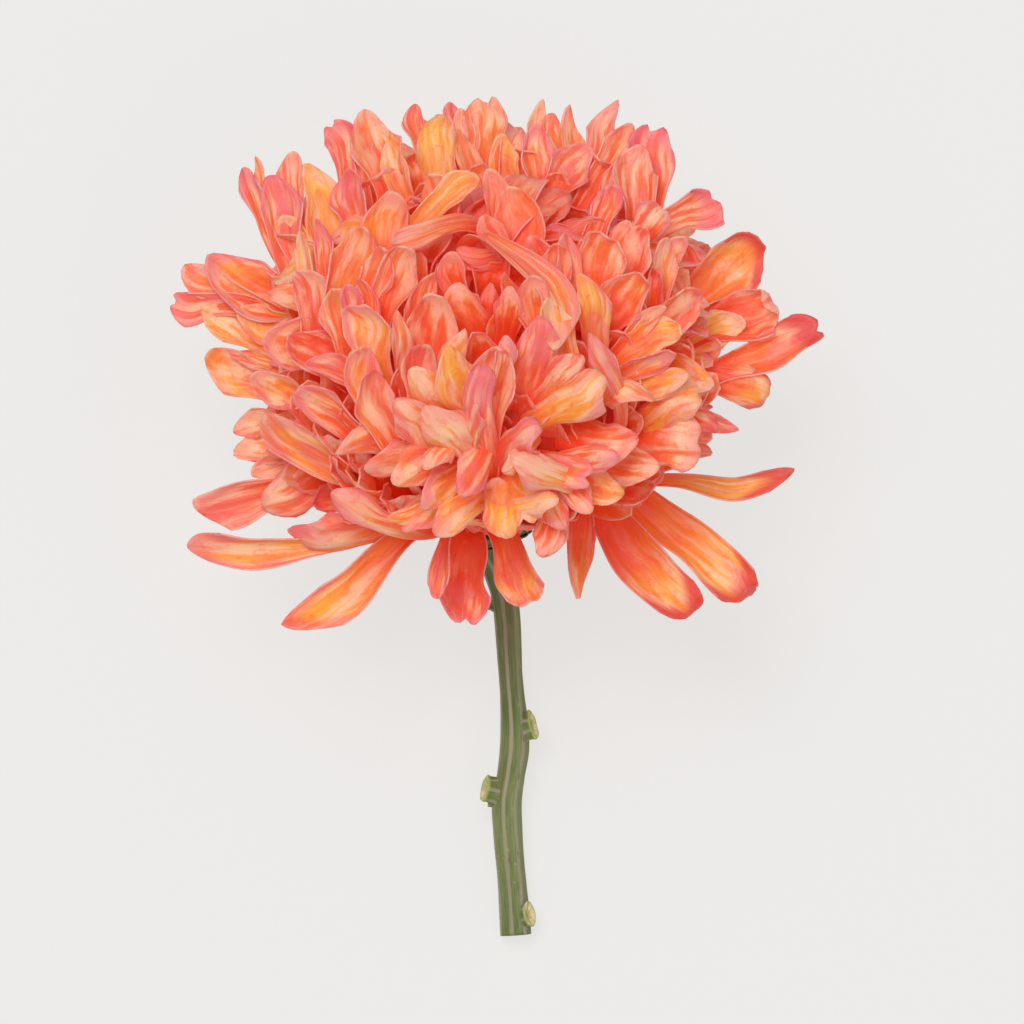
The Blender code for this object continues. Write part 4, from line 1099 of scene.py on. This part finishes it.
def bract_finish():
    made = Finish("bract", BRACT_SHADER)
    across, along = made.uv("Floret")
    rim = abs(across - 0.5) * 2
    grain = made.pattern(across * 18, along * 2, made.noise(made.place(), 80.0), 3.0)
    colour = made.paint(
        "41522A",
        (grain, 0.35, 0.65, 1.0, "66753F"),
        (rim + grain * 0.2, 0.8, 1.05, 0.7, "8E8A5E"),
    )
    return made.finish(colour, grain, 0.4, 0.0003)


def heart_finish():
    made = Finish("heart", {"Roughness": 0.6})
    # The heart shows in the gaps between florets: its red is partly their own colour, partly painted shade
    shade = tuple(HEART_SHADE * part for part in srgb(HEART))
    colour = made.paint(HEART, (made.noise(made.place(), 400.0), 0.3, 0.7, 1.0, shade))
    made.feed(made.shader, {"Base Color": colour})
    return made.material


def rings_piece(name, middles, sides, ups, reach, along, cuts, uv_name="Stem"):
    """A closed skin over rings: reach gives the two half widths at each row and turn, and cuts how
    much of each ring is cut."""
    sides, ups = np.broadcast_to(sides, middles.shape), np.broadcast_to(ups, middles.shape)
    rows, count = reach[0].shape
    turns = np.linspace(0, 2 * math.pi, count)
    ring = np.cos(turns)[None, :, None] * sides[:, None, :] * reach[0][..., None]
    ring = ring + np.sin(turns)[None, :, None] * ups[:, None, :] * reach[1][..., None]
    uvs = np.stack(np.broadcast_arrays(turns[None, :] / (2 * math.pi), along[:, None]), axis=-1)
    first = (np.arange(rows - 1)[:, None] * count + np.arange(count - 1)).ravel()
    faces = np.stack([first, first + 1, first + count + 1, first + count], axis=-1)
    mesh = bpy.data.meshes.new(name)
    mesh.from_pydata(lay_down(middles[:, None, :] + ring).reshape(-1, 3), [], faces.tolist())
    layer = mesh.uv_layers.new(name=uv_name)
    corners = np.empty(len(mesh.loops), np.int32)
    mesh.loops.foreach_get("vertex_index", corners)
    layer.uv.foreach_set("vector", uvs.reshape(-1, 2)[corners].astype(np.float32).ravel())
    shade = mesh.attributes.new("Cut", "FLOAT", "POINT")
    shade.data.foreach_set("value", np.repeat(cuts, count).astype(np.float32))
    close_mesh(mesh)
    return add_object(name, mesh)


def build_scar(foot, end, wide, tall, torn, draw):
    """The stub of a leaf stalk: a short oval neck with a torn and hollow cut face."""
    foot, end = np.array(foot), np.array(end)
    way = unit(end - foot)
    up = unit(STEM_WAY - (STEM_WAY @ way) * way)
    outs, sizes, cuts = np.array(SCAR_PROFILE).T
    turns = np.linspace(0, 2 * math.pi, SCAR_SIDES)
    phases = draw.uniform(0, 2 * math.pi, 2)
    waves = sum(depth * np.sin(times * turns + phase) for (times, depth), phase in zip(SCAR_LOBES, phases))
    lobes = 1 + torn * waves
    lobes[-1] = lobes[0]
    ragged = sizes[:, None] * np.where(outs[:, None] > SCAR_RAGGED_FROM, lobes[None, :], 1.0)
    middles = foot + outs[:, None] * (end - foot)
    reach = (0.5 * wide * ragged, 0.5 * tall * ragged)
    return rings_piece("scar", middles, np.cross(up, way), up, reach, SCAR_LENGTH * outs, cuts)


def build_stem():
    """The ribbed stem from its cut end to the cup, with the stubs of its leaf stalks."""
    neck = [(*(height * AXIS), radius) for height, radius in NECK]
    line = np.array([*STEM_LINE, *neck])
    spine = Spine(line[:, :3])
    along = np.linspace(0, spine.length, STEM_ROWS)
    middles, ways = spine.at(along)
    ways[-1] = AXIS
    radius = np.interp(along, spine.marks, line[:, 3])
    turns = np.linspace(0, 2 * math.pi, STEM_SIDES)
    uneven = np.sin(along[:, None] * STEM_WAVE + 2 * np.sin(turns)[None, :]) * STEM_UNEVEN
    reach = radius[:, None] * (1 + STEM_RIB * np.cos(STEM_RIBS * turns)[None, :] + uneven)
    ends, shares = np.array(STEM_END).T
    middles = np.vstack([np.repeat(middles[:1], len(ends), axis=0), middles])
    ways = np.vstack([np.repeat(ways[:1], len(ends), axis=0), ways])
    reach = np.vstack([reach[:1] * ends[:, None], reach])
    sides = unit(np.cross(ways, EYE_WAY + SEAM_NUDGE * SIDE))
    cuts = np.concatenate([shares, np.zeros(STEM_ROWS)])
    along = np.concatenate([np.zeros(len(ends)), along])
    skin = rings_piece("stem_skin", middles, sides, np.cross(sides, ways), (reach, reach), along, cuts)
    draw = np.random.default_rng(HIDDEN_SEED)
    return join_pieces("stem_skin", [skin, *(build_scar(*scar, draw) for scar in SCARS)])


def cup_radius(height):
    heights, radii = zip(*CUP_PROFILE)
    return np.interp(height, heights, radii)


def build_involucre():
    """The green cup behind the bloom, under its overlapping rows of bracts."""
    heights = np.linspace(CUP_PROFILE[0][0], CUP_PROFILE[-1][0], CUP_ROWS)
    radii = np.concatenate([[0.0], cup_radius(heights), [0.0]])
    heights = np.concatenate([heights[:1], heights, heights[-1:]])
    reach = np.repeat(radii[:, None], STEM_SIDES, axis=1)
    middles, cuts = heights[:, None] * AXIS, np.zeros(len(heights))
    cup = rings_piece("cup", middles, SIDE, FRONT, (reach, reach), heights, cuts, "Floret")
    draw = np.random.default_rng(HIDDEN_SEED)
    blank = blank_sheet(BRACT_SIZE)
    across = np.linspace(-1, 1, BRACT_SIZE[0])[None, :]
    share = np.linspace(0, 1, BRACT_SIZE[1])[:, None]
    point = BRACT_POINT * np.clip(share - BRACT_SHOULDER, 0, 1) ** BRACT_POWER
    half = 0.5 * BRACT_WIDTH * (BRACT_FOOT + BRACT_SWELL * share - point)
    bracts = []
    for row, (count, foot_height, tip_height, stand, flare) in enumerate(BRACT_ROWS):
        for index in range(count):
            place = index + BRACT_STAGGER * row + draw.uniform(-BRACT_TURN_DRAW, BRACT_TURN_DRAW)
            tip_drawn = tip_height + draw.uniform(-BRACT_TIP_DRAW, BRACT_TIP_DRAW)
            height = blend(foot_height, tip_drawn, share)
            reach = cup_radius(height) + stand + flare * share**3 - BRACT_HOLLOW * across**2 * share
            angle = 2 * math.pi * place / count + across * half / np.maximum(reach, BRACT_LEAST_REACH)
            rays = np.cos(angle)[..., None] * FRONT + np.sin(angle)[..., None] * SIDE
            bracts.append(add_floret(blank, height[..., None] * AXIS + reach[..., None] * rays, np.zeros(4)))
    bpy.data.objects.remove(blank, do_unlink=True)
    return join_pieces("involucre_cup", [cup, join_pieces("bracts", bracts, BRACT_THICKNESS)])


def put_on(piece, material, slot, *nodes):
    piece.data.materials.append(material)
    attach(piece, BODY)
    if nodes:
        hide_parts(*nodes)


def build_bloom():
    draw = np.random.default_rng(HIDDEN_SEED)
    fine, coarse = blank_sheet(FINE), blank_sheet(COARSE)
    petal = petal_finish()
    put_on(build_seen("crest_florets", CREST, fine, draw), petal, "petal", "bloom")
    put_on(build_seen("right_florets", UPPER_RIGHT + LOWER_RIGHT + BOTTOM, fine, draw), petal, "petal")
    put_on(build_seen("left_florets", LOWER_LEFT + LEFT, fine, draw), petal, "petal")
    put_on(build_seen("crown_florets", UPPER_LEFT + CROWN, fine, draw), petal, "petal")
    hidden = (
        ("back_florets", back_spines, AXIS, "ccop"),
        ("dome_florets", dome_spines, AXIS, "ccopr"),
        ("crest_backing", behind_spines, AXIS, "ccorp"),
        ("apron_florets", apron_spines, AXIS, "rco"),
        ("inner_florets", inner_spines, EYE_WAY, "rcrco"),
    )
    for name, spines, toward, tints in hidden:
        put_on(build_hidden(name, list(spines(draw)), toward, coarse, tints, draw), petal, "petal")
    put_on(build_core(), heart_finish(), "petal")
    for blank in (fine, coarse):
        bpy.data.objects.remove(blank, do_unlink=True)


def set_stage():
    bpy.ops.mesh.primitive_plane_add(size=FLOOR_SIZE)
    floor = bpy.context.active_object
    floor.name = "floor"
    floor.data.materials.append(Finish("floor", FLOOR_SHADER).material)


def aim_at(thing, place, aim):
    """Puts a lamp or the camera at a place, turned to what it is aimed at."""
    thing.location = place
    thing.rotation_euler = (Vector(aim) - Vector(place)).to_track_quat("-Z", "Y").to_euler()


def set_light():
    scene = bpy.context.scene
    scene.view_settings.view_transform = "Standard"
    scene.world = bpy.data.worlds.new("studio")
    scene.world.use_nodes = True
    background = scene.world.node_tree.nodes["Background"]
    background.inputs["Color"].default_value = (1.0, 1.0, 1.0, 1.0)
    background.inputs["Strength"].default_value = WORLD_LIGHT
    for name, place, size, power in LAMPS:
        light = bpy.data.lights.new(name, "AREA")
        light.size = size
        light.energy = power
        aim_at(add_object(name, light), place, LIT_POINT)


def set_camera():
    data = bpy.data.cameras.new("camera")
    data.sensor_width = SENSOR
    data.lens = SENSOR * EYE_DISTANCE / VIEW_WIDTH
    data.clip_end = CLIP_END
    camera = add_object("camera", data)
    aim_at(camera, lay_down([*EYE_AIM, EYE_DISTANCE]), lay_down([*EYE_AIM, 0.0]))
    bpy.context.scene.camera = camera


build_bloom()
put_on(build_stem(), stem_finish(), "stem", "stem")
put_on(build_involucre(), bract_finish(), "bract", "involucre")
set_stage()
set_light()
set_camera()
